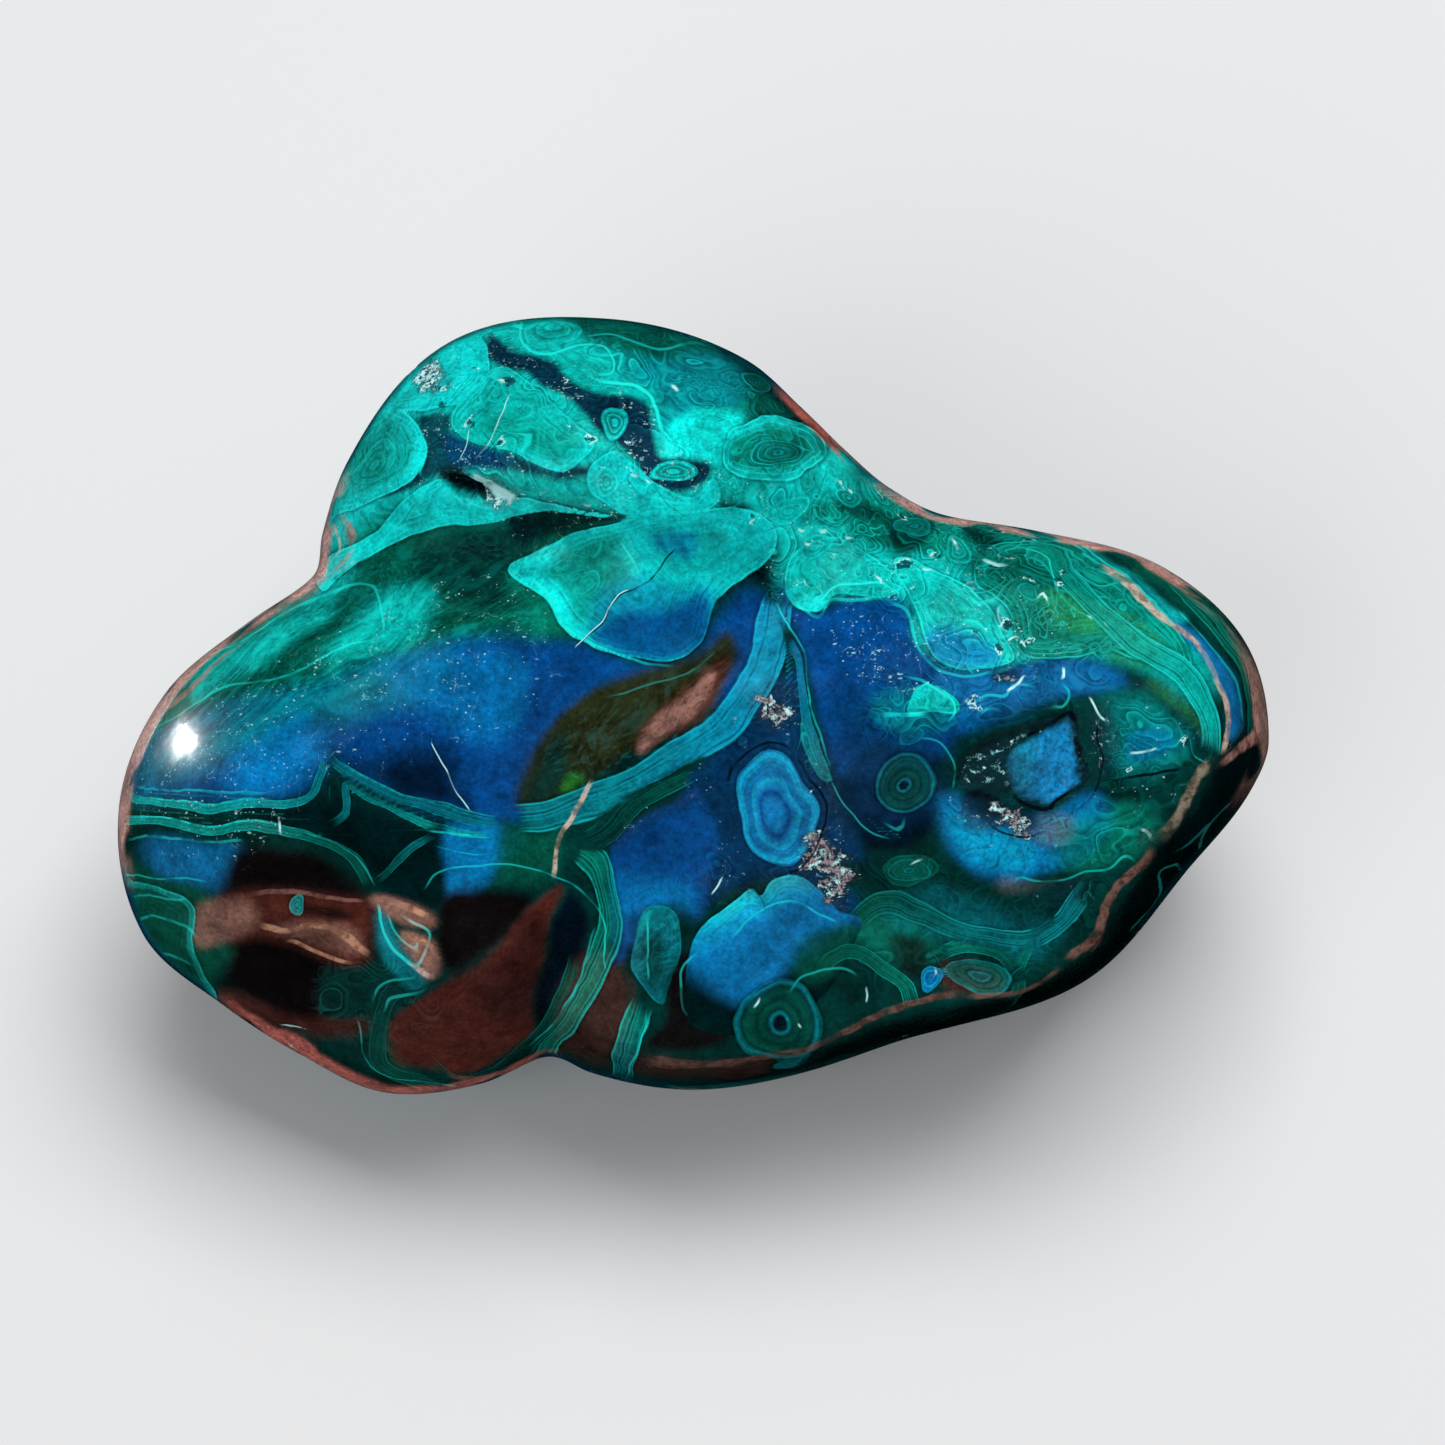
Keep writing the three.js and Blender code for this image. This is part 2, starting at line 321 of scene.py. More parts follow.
def depth_inside(at, outline, margin=6.0):
    """How deep each point lies inside a smooth closed outline, in millimetres, and negative outside it.

    A point is inside if a line from it towards +X crosses the outline an odd number of times.
    """
    curve = smooth_curve(outline, closed=True)
    distance, _, _ = measure(at, curve, closed=True, margin=margin)
    near = distance < FAR
    x, y = at[near].T
    x0, y0 = curve.T
    x1, y1 = np.roll(curve, -1, axis=0).T
    spans = (y0[None] > y[:, None]) != (y1[None] > y[:, None])
    rise = np.where(y1 == y0, 1e-9, y1 - y0)
    crossing_x = x0 + (y[:, None] - y0) * (x1 - x0) / rise
    inside = (spans & (crossing_x > x[:, None])).sum(axis=1) % 2 == 1
    depth = -distance
    depth[near] = np.where(inside, distance[near], -distance[near])
    return depth


def ease(value):
    """A smooth step: 0 at 0 and below, 1 at 1 and above, level at both ends."""
    t = np.clip(value, 0, 1)
    return t * t * (3 - 2 * t)


def lumps(points, size, seed, waves=14):
    """A smooth random field between about -1 and 1: a sum of plane waves about `size` long, run every way."""
    rng = np.random.default_rng(seed)
    direction = rng.normal(size=(waves, points.shape[1]))
    direction /= np.linalg.norm(direction, axis=1)[:, None]
    number = 2 * np.pi / size * rng.uniform(0.7, 1.4, waves)
    phase = rng.uniform(0, 2 * np.pi, waves)
    return np.sin(points @ (direction * number[:, None]).T + phase).sum(axis=1) / np.sqrt(waves / 2)


print("curve helpers ready")

# %% [markdown]
# ## Openings and rough places
#
# Polishing leaves a few places untouched: a slot-shaped vug in the top lobe, small pits and chips, crumbs of
# druse, and a hollow on the right lobe where a flat slab has broken out. They are real shapes, so they are
# pressed into the mesh along its own normals rather than painted. The broken floor also gets a little relief.

# %% Press the openings into the face
# Centre, half-lengths along and across, turn in degrees, depth.
PITS = [
    ((-21.0, 24.4), (2.5, 0.95), -28, 3.0),  # slot vug, deep end
    ((-18.6, 23.9), (2.5, 1.1), -22, 1.0),  # slot vug, shallow end with its rough lip
    ((31.4, 6.3), (1.8, 0.8), 5, 1.0),
    ((35.7, 6.8), (0.8, 0.6), 40, 0.7),
    ((28.7, -5.4), (1.3, 0.7), -5, 0.9),  # pit at the foot of the broken hollow
    ((44.9, -9.4), (0.9, 1.1), -30, 0.4),  # chip on the ridge
    ((-36.5, -28.6), (2.2, 1.0), -28, 0.5),  # chip low on the left lobe
]
HOLLOW = [(26.4, -4.3), (26.8, -2.1), (29.2, 0.1), (33.1, 1.7), (37.6, 2.7), (38.3, 2.3), (38.6, 0.5),
          (39.1, -3.3), (38.9, -4.5), (36.4, -6.4), (35.2, -6.7), (32.6, -6.0), (30.6, -5.3), (28.6, -4.9)]
SLAB = [(31.7, -3.7), (31.6, -1.3), (34.6, 0.8), (37.3, 2.2), (37.8, 2.1), (38.1, -0.6), (38.6, -3.7),
        (38.3, -4.4), (36.2, -5.9), (35.6, -6.1), (33.1, -5.5), (32.6, -5.1)]  # its flat broken floor
DRUSE = [
    [(8.2, 4.4), (9.8, 4.0), (10.3, 1.8), (8.9, 1.4), (7.6, 2.9)],  # above the blue eye
    [(12.2, -9.8), (13.8, -8.6), (15.6, -11), (16.4, -13), (15.4, -15.2), (13.8, -15.6), (13.2, -13),
     (11.6, -12.4)],  # below it
    [(30.2, -6.2), (32.2, -6.6), (33.8, -7.6), (33.2, -9.4), (31.4, -8.6)],  # under the broken slab
    [(-21, 25.7), (-19.4, 25.1), (-17.6, 24.3), (-15.8, 23.2), (-17.2, 22.5), (-18.8, 23.2),
     (-19.9, 24.4)],  # the vug's lip
    [(-24.6, 36.6), (-22.9, 36.0), (-22.6, 34.0), (-24.4, 33.6), (-25.4, 35.0)],  # crown of the top lobe
]
HOLLOW_FLOOR = 0.95
HOLLOW_DIP = np.tan(np.radians(5))  # the floor deepens towards the top


def laid_out(points):
    """Where points of the face fall in the pattern's layout, along lines that meet out at the view point."""
    return VIEW_CENTRE + (points[..., :2] - VIEW_CENTRE) / (1 - points[..., 2:] / VIEW_HEIGHT)


def grid_normals(points):
    """The direction straight out of each vertex of a grid: across both of its runs."""
    across = np.cross(np.gradient(points, axis=0), np.gradient(points, axis=1))
    return across / np.linalg.norm(across, axis=-1, keepdims=True)


face_grid = skin[on_face].reshape(*face_angle.shape, 3)
normals = grid_normals(face_grid).reshape(-1, 3)
at = laid_out(skin[on_face])  # each face vertex's place in the layout
solid = skin[on_face].copy()  # and its place in the stone, for anything that varies in three dimensions

sunk = np.zeros(len(at))
for centre, (half_long, half_wide), turn, depth in PITS:
    u, v = turned(at[:, 0], at[:, 1], centre, turn)
    bowl = 1 - (u / half_long) ** 2 - (v / half_wide) ** 2
    sunk = np.maximum(sunk, depth * np.sqrt(np.clip(bowl, 0, 1)))
hollow_depth = depth_inside(at, HOLLOW)
slab_depth = depth_inside(at, SLAB)
floor_height = HOLLOW_FLOOR + HOLLOW_DIP * (at[:, 1] + 2) + 0.25 * (1 - ease(slab_depth / 0.3 + 0.5))
crumble = 0.16 * lumps(solid, 1.6, seed=3) + 0.08 * lumps(solid, 0.8, seed=4)
sunk = np.maximum(sunk, (floor_height + crumble) * ease(hollow_depth / 0.35))
ragged = 0.3 * lumps(solid, 2.4, seed=5) + 0.25 * lumps(solid, 1.2, seed=6)
druse_depth = np.max([depth_inside(at, outline) for outline in DRUSE], axis=0) + ragged
sunk += (0.1 + 0.1 * lumps(solid, 1.6, seed=7)) * ease(druse_depth / 0.8 + 0.5)
skin[on_face] -= normals * sunk[:, None]
print("openings reach", round(float(sunk.max()), 1), "mm deep")

# %% [markdown]
# ## Leaning back on the base
#
# The stone leans back and is cut flat at its base. Cutting a mesh with a boolean would leave ragged
# triangles along the cut. Since every point of the skin can be seen from the middle of the girdle, the same
# flat cut is made by pulling each point in along its own line of sight until it meets the plane. Rounding the
# meeting of the two distances also gives the small worn edge that a ground base has.

# %% Lean, cut and place
BASE_EDGE = 1.6  # how far the worn edge of the base is rounded


def lean(points):
    """The face's axes turned about X, so that the face looks up as steeply as it does at rest."""
    c, s = np.cos(FACE_LEAN), np.sin(FACE_LEAN)
    x, y, z = points.T
    return np.stack([x, y * c - z * s, y * s + z * c], axis=-1)


def ground_flat(points):
    """Each point pulled in along its line from the origin to the base plane, where it would pass it."""
    distance = np.linalg.norm(points, axis=1)
    below = np.maximum(-points[:, 2], 1e-6)
    to_plane = distance * BASE_DROP / below
    return points * (soft_min(distance, to_plane, BASE_EDGE) / distance)[:, None]


leaning = ground_flat(lean(skin))
middle = (leaning.max(axis=0) + leaning.min(axis=0)) / 2
seat = np.array([-middle[0], -middle[1], BASE_DROP])  # where the middle of the girdle comes to rest
print("the middle of the girdle rests at", np.round(seat, 1), "mm")

# %% [markdown]
# ## Pigments
#
# Copper gives every colour here. Malachite runs from bright turquoise green to nearly black, chrysocolla from
# turquoise to deep royal blue, and iron stains the matrix brown. Some of the same pigments also paint light
# and shade below: browns and pinks for painted reflections and painted highlights, near-blacks for painted
# shade. Names for a few pigments keep the layout readable. They are given as screen values and turned into
# the linear light that materials work in.

# %% The pigments
def pigment(red, green, blue):
    """A screen colour of 0 to 255 in each channel, as linear light: roughly its share to the power 2.2."""
    share_of_full = np.array([red, green, blue]) / 255
    return np.where(share_of_full <= 0.04045, share_of_full / 12.92, ((share_of_full + 0.055) / 1.055) ** 2.4)


PIGMENTS = {
    "bright": pigment(0, 232, 220), "turquoise": pigment(0, 206, 202), "sea": pigment(0, 178, 168),
    "teal": pigment(0, 116, 128), "malachite": pigment(0, 114, 92), "moss": pigment(0, 76, 60),
    "forest": pigment(0, 46, 42), "leaf": pigment(40, 150, 40), "blackgreen": pigment(0, 24, 26),
    "sky": pigment(0, 154, 198), "azure": pigment(0, 110, 168), "royal": pigment(0, 67, 130),
    "navy": pigment(0, 48, 88), "ink": pigment(1, 14, 26), "night": pigment(6, 42, 62),
    "olive": pigment(36, 42, 20), "iron": pigment(78, 34, 27), "clay": pigment(138, 98, 86),
    "soot": pigment(14, 10, 12), "cream": pigment(222, 200, 184), "granite": pigment(160, 142, 146),
    "pink": pigment(196, 142, 132), "skin": pigment(200, 150, 118), "sand": pigment(150, 140, 118),
    "rust": pigment(176, 84, 70), "glow": pigment(24, 246, 234), "frost": pigment(196, 255, 255),
}
print(len(PIGMENTS), "pigments")

# %% [markdown]
# ## The ground
#
# Under all the lines lie broad soft fields of colour: pools of chrysocolla, swaths of dark malachite, patches
# of matrix. A few fields are painted light: brown painted reflections and highlights, and near-black painted
# shade. The lighter top lobe and darker lower front are partly painted light too, lit above and in shade
# below.
# Each is a smooth outline, filled with one pigment and feathered at its edge by its softness. They are laid
# one over another, as a painter would, from the broadest to the smallest.

# %% Fields of the top lobe and the saddle
# Pigment, softness of the edge in mm, strength, outline.
VUG = [(-23.1, 25), (-22.2, 25.7), (-20.9, 25.3), (-19.7, 24.2), (-18.6, 23), (-20.3, 23.7), (-22, 24.4)]
TOP_FIELDS = [
    ("sea", 2.0, 1.0, [(-33, 20), (-34, 28), (-29, 36), (-20, 41), (-8, 43), (4, 40), (11.5, 34), (17, 26),
                       (8, 21), (-4, 21), (-15, 23.5), (-24, 21.5)]),  # the whole lobe
    ("moss", 1.5, 0.95, [(-11.5, 42), (-4, 41.5), (4, 38.5), (9, 34.5), (13.5, 29.5), (9.5, 28.3), (6, 32),
                         (2, 35), (-4, 36.5), (-8.5, 38)]),  # crown
    ("ink", 1.2, 0.85, [(2, 40.3), (6.5, 38), (10, 34.5), (14.5, 30), (12.3, 28.5), (8.6, 32.4), (4.5, 36)]),
    ("teal", 1.4, 0.9, [(-5.3, 36), (0, 37), (5.3, 36), (6.2, 32.6), (1.9, 31), (-1.4, 29.5), (-2.4, 32.6)]),
    ("bright", 0.7, 1.0, [(-1, 29.7), (0.9, 31.2), (4, 32), (6.6, 31.4), (5.6, 29.4), (4.6, 26.8),
                          (2.4, 26.6), (0.4, 27.6), (-0.9, 27.6)]),
    ("turquoise", 1.0, 0.8, [(-3, 27.6), (0, 27.4), (6, 26), (8, 24), (12, 23), (10, 25.4), (5, 27),
                             (1, 28.6)]),
    ("night", 0.5, 0.95, [(-25.5, 30.7), (-22.2, 31.5), (-21.8, 29.7), (-18.2, 28.3), (-11.5, 26.2),
                          (-8.4, 25.9), (-9.6, 24.8), (-14.4, 25.4), (-19.2, 25.7), (-21.8, 25.1),
                          (-24, 24.7), (-26.4, 23.8), (-31.6, 21.9), (-30, 24), (-25.6, 26),
                          (-24.5, 28.2)]),
    ("royal", 1.0, 0.45, [(-22.4, 29), (-20, 28.6), (-17, 27), (-18, 25.8), (-21.5, 26)]),
    # speckled band that winds round two eyes
    ("night", 0.45, 1.0, [(-18.5, 39.4), (-16, 37.9), (-13.9, 37.3), (-11.9, 36.1), (-10.4, 34.5),
                          (-7.8, 33.8), (-5.2, 33.2), (-3.2, 32), (-2.2, 29.9), (-1.7, 27.6), (0.4, 27.2),
                          (2.7, 26.3), (2.6, 25), (0.4, 24), (-1.7, 24), (-3.4, 25.1), (-4.4, 26.8),
                          (-6.4, 28.2), (-8.2, 29.6), (-9.1, 31.2), (-10.9, 32.7), (-13.4, 33.8),
                          (-14.7, 35.3), (-16.7, 35.7), (-18.5, 37.1)]),
    ("sea", 0.6, 1.0, [(-33, 18.6), (-30, 21.4), (-27, 23.2), (-23, 24.4), (-19, 23.2), (-14, 24.4),
                       (-9, 24.8), (-4.6, 23.2), (-3.7, 21.4), (-9, 20.8), (-15, 20.4), (-22, 20.2),
                       (-28, 19.4)]),
    # The vug's opening is painted black: painted shade in the hole.
    ("soot", 0.2, 1.0, VUG),
    ("turquoise", 1.2, 0.95, [(-36, 14), (-36, 20.5), (-32.3, 22.4), (-28, 23), (-26, 21), (-29.5, 17.6),
                              (-33, 13.6)]),
    ("sea", 1.2, 1.0, [(4, 24.6), (8, 25.2), (12, 23.5), (17, 21.5), (19, 18), (14, 16), (9, 19), (5, 22)]),
    ("turquoise", 1.0, 0.8, [(9, 24), (13.5, 23), (16.5, 19.5), (13.5, 16.5), (10.5, 17.5), (8.6, 21)]),
    ("ink", 0.6, 0.8, [(3.8, 22.9), (6.8, 22.8), (7.2, 22.1), (4.6, 21.9)]),
    ("ink", 0.5, 0.85, [(7.9, 18.4), (9, 18), (10, 16.3), (9.3, 15.2), (6.5, 15.5), (5.6, 16.4)]),
]
# %% Fields of the left lobe
LEFT_FIELDS = [
    ("malachite", 2.5, 1.0, [(-57, -5), (-53, 4), (-44, 11), (-34, 17), (-28, 22), (-12, 20), (-12, 9),
                             (-30, 2), (-44, -4)]),
    ("moss", 1.6, 0.95, [(-4, 21.4), (-9.2, 22.4), (-13, 22.7), (-16.8, 21.1), (-21.1, 20.9), (-26.8, 20.1),
                         (-31, 17.2), (-34.5, 14.5), (-40, 10.4), (-45, 5.8), (-49, 2), (-43.1, 3),
                         (-36.4, 4.8), (-28.8, 7.7), (-23, 9.6), (-17.3, 11.5), (-13.4, 13.4),
                         (-16.1, 15.8), (-11.5, 19.2)]),
    ("forest", 1.5, 0.9, [(-23, 19.3), (-14, 21), (-13.5, 19), (-17, 16.2), (-16.5, 13.2), (-22, 13.4),
                          (-25, 16)]),
    ("ink", 0.6, 0.8, [(-16.5, 21.4), (-13.4, 22.6), (-9.2, 22.2), (-4.4, 21.3), (-8.5, 20.8), (-13, 19.6),
                       (-15.1, 19.2)]),  # dark wedge that runs up to the node
    ("sea", 1.8, 0.95, [(-30, 12.5), (-27, 14.2), (-24.2, 13.4), (-24.5, 10.6), (-29, 8.6), (-34, 7.3)]),
    ("sea", 1.4, 0.95, [(-46, 6.6), (-38, 12), (-33, 15.2), (-31, 15.4), (-35, 11.6), (-42, 6.2),
                        (-46.5, 3.8)]),
    ("royal", 1.8, 1.0, [(-50, 0.6), (-42.2, 3.4), (-33.6, 5.6), (-26.8, 7.8), (-20.1, 9.8), (-13, 9.9),
                         (-8, 7), (-9, 3), (-13.6, -1), (-14.6, -5.5), (-17.3, -7.4), (-23, -7),
                         (-26.8, -5.4), (-31.6, -3), (-33.6, -0.9), (-35, -4), (-38.4, -5.6), (-46, -5.4),
                         (-52.3, -5)]),
    ("teal", 2.5, 0.8, [(-50, 0), (-40, 4.4), (-30, 7), (-22, 8), (-26, 4), (-36, 1), (-40, -1),
                        (-48, -3.6), (-52, -4)]),
    ("azure", 2.2, 0.8, [(-43, -2.2), (-36.5, 1.2), (-34.4, -0.6), (-36.6, -4), (-42, -5)]),
    ("azure", 2.5, 0.7, [(-28, 6.5), (-20, 8.6), (-13, 6), (-15, 1), (-22, 1.5)]),
    ("ink", 2.2, 0.9, [(-31.6, -2.4), (-27, -1.4), (-22.3, -1), (-21.3, -3.8), (-20.7, -6.8), (-24.6, -6.4),
                       (-28.4, -4.6)]),
    ("azure", 1.2, 0.7, [(-51, -9.6), (-43, -10), (-41.6, -11.4), (-42, -14.6), (-47, -14.4), (-51, -12)]),
    ("blackgreen", 1.4, 1.0, [(-41.6, -6.4), (-34, -5.6), (-33.4, -4.6), (-27, -7.6), (-22, -8.6), (-22, -15),
                              (-27, -16.2), (-31, -11.8), (-36, -8.9), (-40, -8.6)]),
    ("soot", 1.5, 1.0, [(-43, -11), (-37.4, -10.4), (-33, -12.2), (-30, -15), (-29.6, -22), (-32.6, -26.2),
                       (-38, -26.8), (-43.6, -23), (-44.4, -17)]),
    ("moss", 1.2, 1.0, [(-56, -11), (-49, -13), (-44.5, -15), (-43.3, -20.6), (-45.6, -23.4), (-49.5, -24),
                        (-54.5, -18)]),
    # The next four iron and clay fields are a painted reflection: brown surroundings mirrored low on the left
    # lobe, where they lie as folds.
    ("iron", 1.1, 0.95, [(-43.9, -15), (-39.4, -14.6), (-35.5, -14.7), (-29.8, -15.4), (-29.8, -18.9),
                         (-30.4, -21.9), (-33.7, -21.1), (-37.7, -19.7), (-40.6, -18.6), (-43.3, -18.9)]),
    ("clay", 0.9, 0.9, [(-46.4, -16.6), (-43.9, -15.2), (-41.2, -15.6), (-40.8, -17.4), (-43.3, -18.9),
                        (-46, -19.7)]),
    ("clay", 0.8, 0.6, [(-39, -17.8), (-36, -17.4), (-32, -17.9), (-30.4, -20.2), (-33.4, -20), (-37, -19)]),
    ("iron", 1.0, 0.75, [(-43.9, -23.6), (-38.3, -26), (-31, -26.8), (-30.6, -28.2), (-37, -28.2),
                         (-42.6, -26)]),
    ("soot", 0.8, 0.9, [(-36.6, -16), (-33, -16.2), (-31.4, -17.2), (-33.6, -17.2)]),
    ("forest", 0.9, 0.9, [(-33.6, -22), (-29.4, -21.6), (-28, -24.6), (-30.6, -26.4), (-34, -25.6)]),
    ("clay", 0.6, 0.9, [(-29.4, -15), (-26, -15.6), (-23.6, -16.8), (-23.4, -18.2), (-26.4, -17.6),
                        (-29, -16.6)]),
    ("clay", 0.6, 0.9, [(-26.6, -18.4), (-24, -19.4), (-23, -21.4), (-24.4, -22.6), (-26.2, -20.8)]),
    ("teal", 0.6, 0.8, [(-28.9, -16.6), (-27.8, -17.6), (-26.6, -20.6), (-24.6, -22.8), (-26.2, -23.4),
                             (-28, -21.6), (-29, -19)]),
    ("azure", 0.8, 0.95, [(-22.3, -8), (-15.8, -8.4), (-16.3, -10.8), (-18.8, -14), (-21.6, -15.4),
                          (-22.3, -13)]),
    ("moss", 1.0, 0.9, [(-17, -8), (-12, -8.4), (-11, -11), (-12.2, -13.6), (-16, -14), (-18, -13)]),
    ("soot", 0.9, 1.0, [(-22.6, -15.2), (-19.2, -14.2), (-16.4, -14.8), (-14, -15.6), (-16.2, -18.6),
                        (-20.2, -21.6), (-22.8, -21.4)]),
    ("iron", 0.6, 1.0, [(-11.8, -14.4), (-15, -17), (-18.5, -20.9), (-23, -23.2), (-27.2, -26.3),
                        (-28.1, -29.2), (-25.2, -31.4), (-19.7, -31.3), (-15.1, -28.5), (-14, -25.6),
                        (-12.8, -18.9), (-11.4, -15)]),
    ("ink", 0.7, 1.0, [(-11.6, -16.2), (-12.6, -20), (-13.8, -25.6), (-12.8, -26.9), (-9.9, -22.4),
                       (-9, -17.7), (-10.4, -14.8)]),
    ("soot", 1.6, 0.6, [(-21.6, -23), (-17, -20), (-13.4, -17), (-12.6, -21), (-14, -26), (-18, -27)]),
    ("moss", 0.8, 0.8, [(-28.6, -25), (-29.8, -28), (-28.4, -31.6), (-24, -33.6), (-26.4, -31),
                        (-28, -28.4)]),
]
# %% Fields of the middle
MIDDLE_FIELDS = [
    ("royal", 1.4, 1.0, [(-13, 9.6), (-7.7, 8.4), (-4, 6.9), (1, 7.7), (3.8, 11.5), (6.2, 14.4), (8.2, 13.4),
                         (8.2, 9.6), (6, 4.5), (1, 3), (-3, 5), (-9.6, 4.8), (-12.5, 1.9), (-13.6, -2),
                         (-13.6, -5.8), (-16, -7.4), (-16.5, -2), (-15, 4)]),
    ("olive", 0.9, 1.0, [(-15.3, -6), (-14, -1.3), (-12.2, 1.8), (-9.2, 3.9), (-5.6, 5.8), (-1.6, 7.1),
                         (2.3, 8.7), (4.7, 10.3), (5.8, 8.1), (4.7, 5.6), (3.1, 3.2), (-0.3, 1.1),
                         (-5.1, -0.8), (-7.2, -2.6), (-9.2, -4.4), (-12.4, -6)]),  # lens
    ("forest", 1.2, 0.8, [(-14.6, -5.6), (-13, -1.5), (-11.3, 0.4), (-10.6, -2), (-11.6, -5.2)]),
    ("iron", 1.0, 0.8, [(-4.4, -0.4), (-1.4, 3), (1.5, 5.6), (4.4, 7.9), (4.6, 6), (2.6, 2.6), (-0.6, 0.4)]),
    ("clay", 0.5, 0.95, [(-4.2, -0.6), (-2.2, 2), (1.2, 4.8), (3.3, 6.6), (3.4, 5.2), (1.4, 2.4), (-1.4, 0.2),
                         (-3.4, -1)]),
    ("leaf", 0.8, 0.5, [(-11.4, -4.8), (-10.2, -3.2), (-9.2, -3.8), (-10.4, -5.4)]),
    ("ink", 0.8, 0.9, [(12.8, 4), (13.4, 8), (15, 9), (16, 3), (18, -1), (21, -1), (24.6, -2), (25.2, -6),
                       (23, -9.6), (18, -10.4), (15.4, -5.6), (14.2, -2)]),
    ("navy", 0.8, 0.95, [(0.5, -4.6), (3, -1.5), (6.5, 3.2), (9.6, 6), (11.6, 6.5), (12, 1.5), (13.6, -2.5),
                         (15.8, -7.2), (17.8, -10.8), (18, -14.4), (16, -16.8), (12.5, -14.6), (9, -13.2),
                         (4.6, -14), (1, -17), (2, -11)]),  # matrix round the blue eye
    ("royal", 0.6, 1.0, [(1.9, -4.9), (2.5, -6.8), (3.5, -10.5), (3, -13.2), (1.9, -16.8), (0.3, -15.1),
                         (-1.2, -15.6), (-3.5, -16.8), (-4.8, -19.9), (-6.1, -21.1), (-6.6, -15.9),
                         (-6.9, -9.8), (-4.8, -7.9), (-0.8, -6.2)]),  # blue field under the sweep
    ("azure", 2.0, 0.8, [(-6.2, -13), (-3.5, -13.2), (0.5, -13.8), (1.6, -16.6), (-1, -15.8), (-4, -17.4),
                         (-6, -19)]),
]
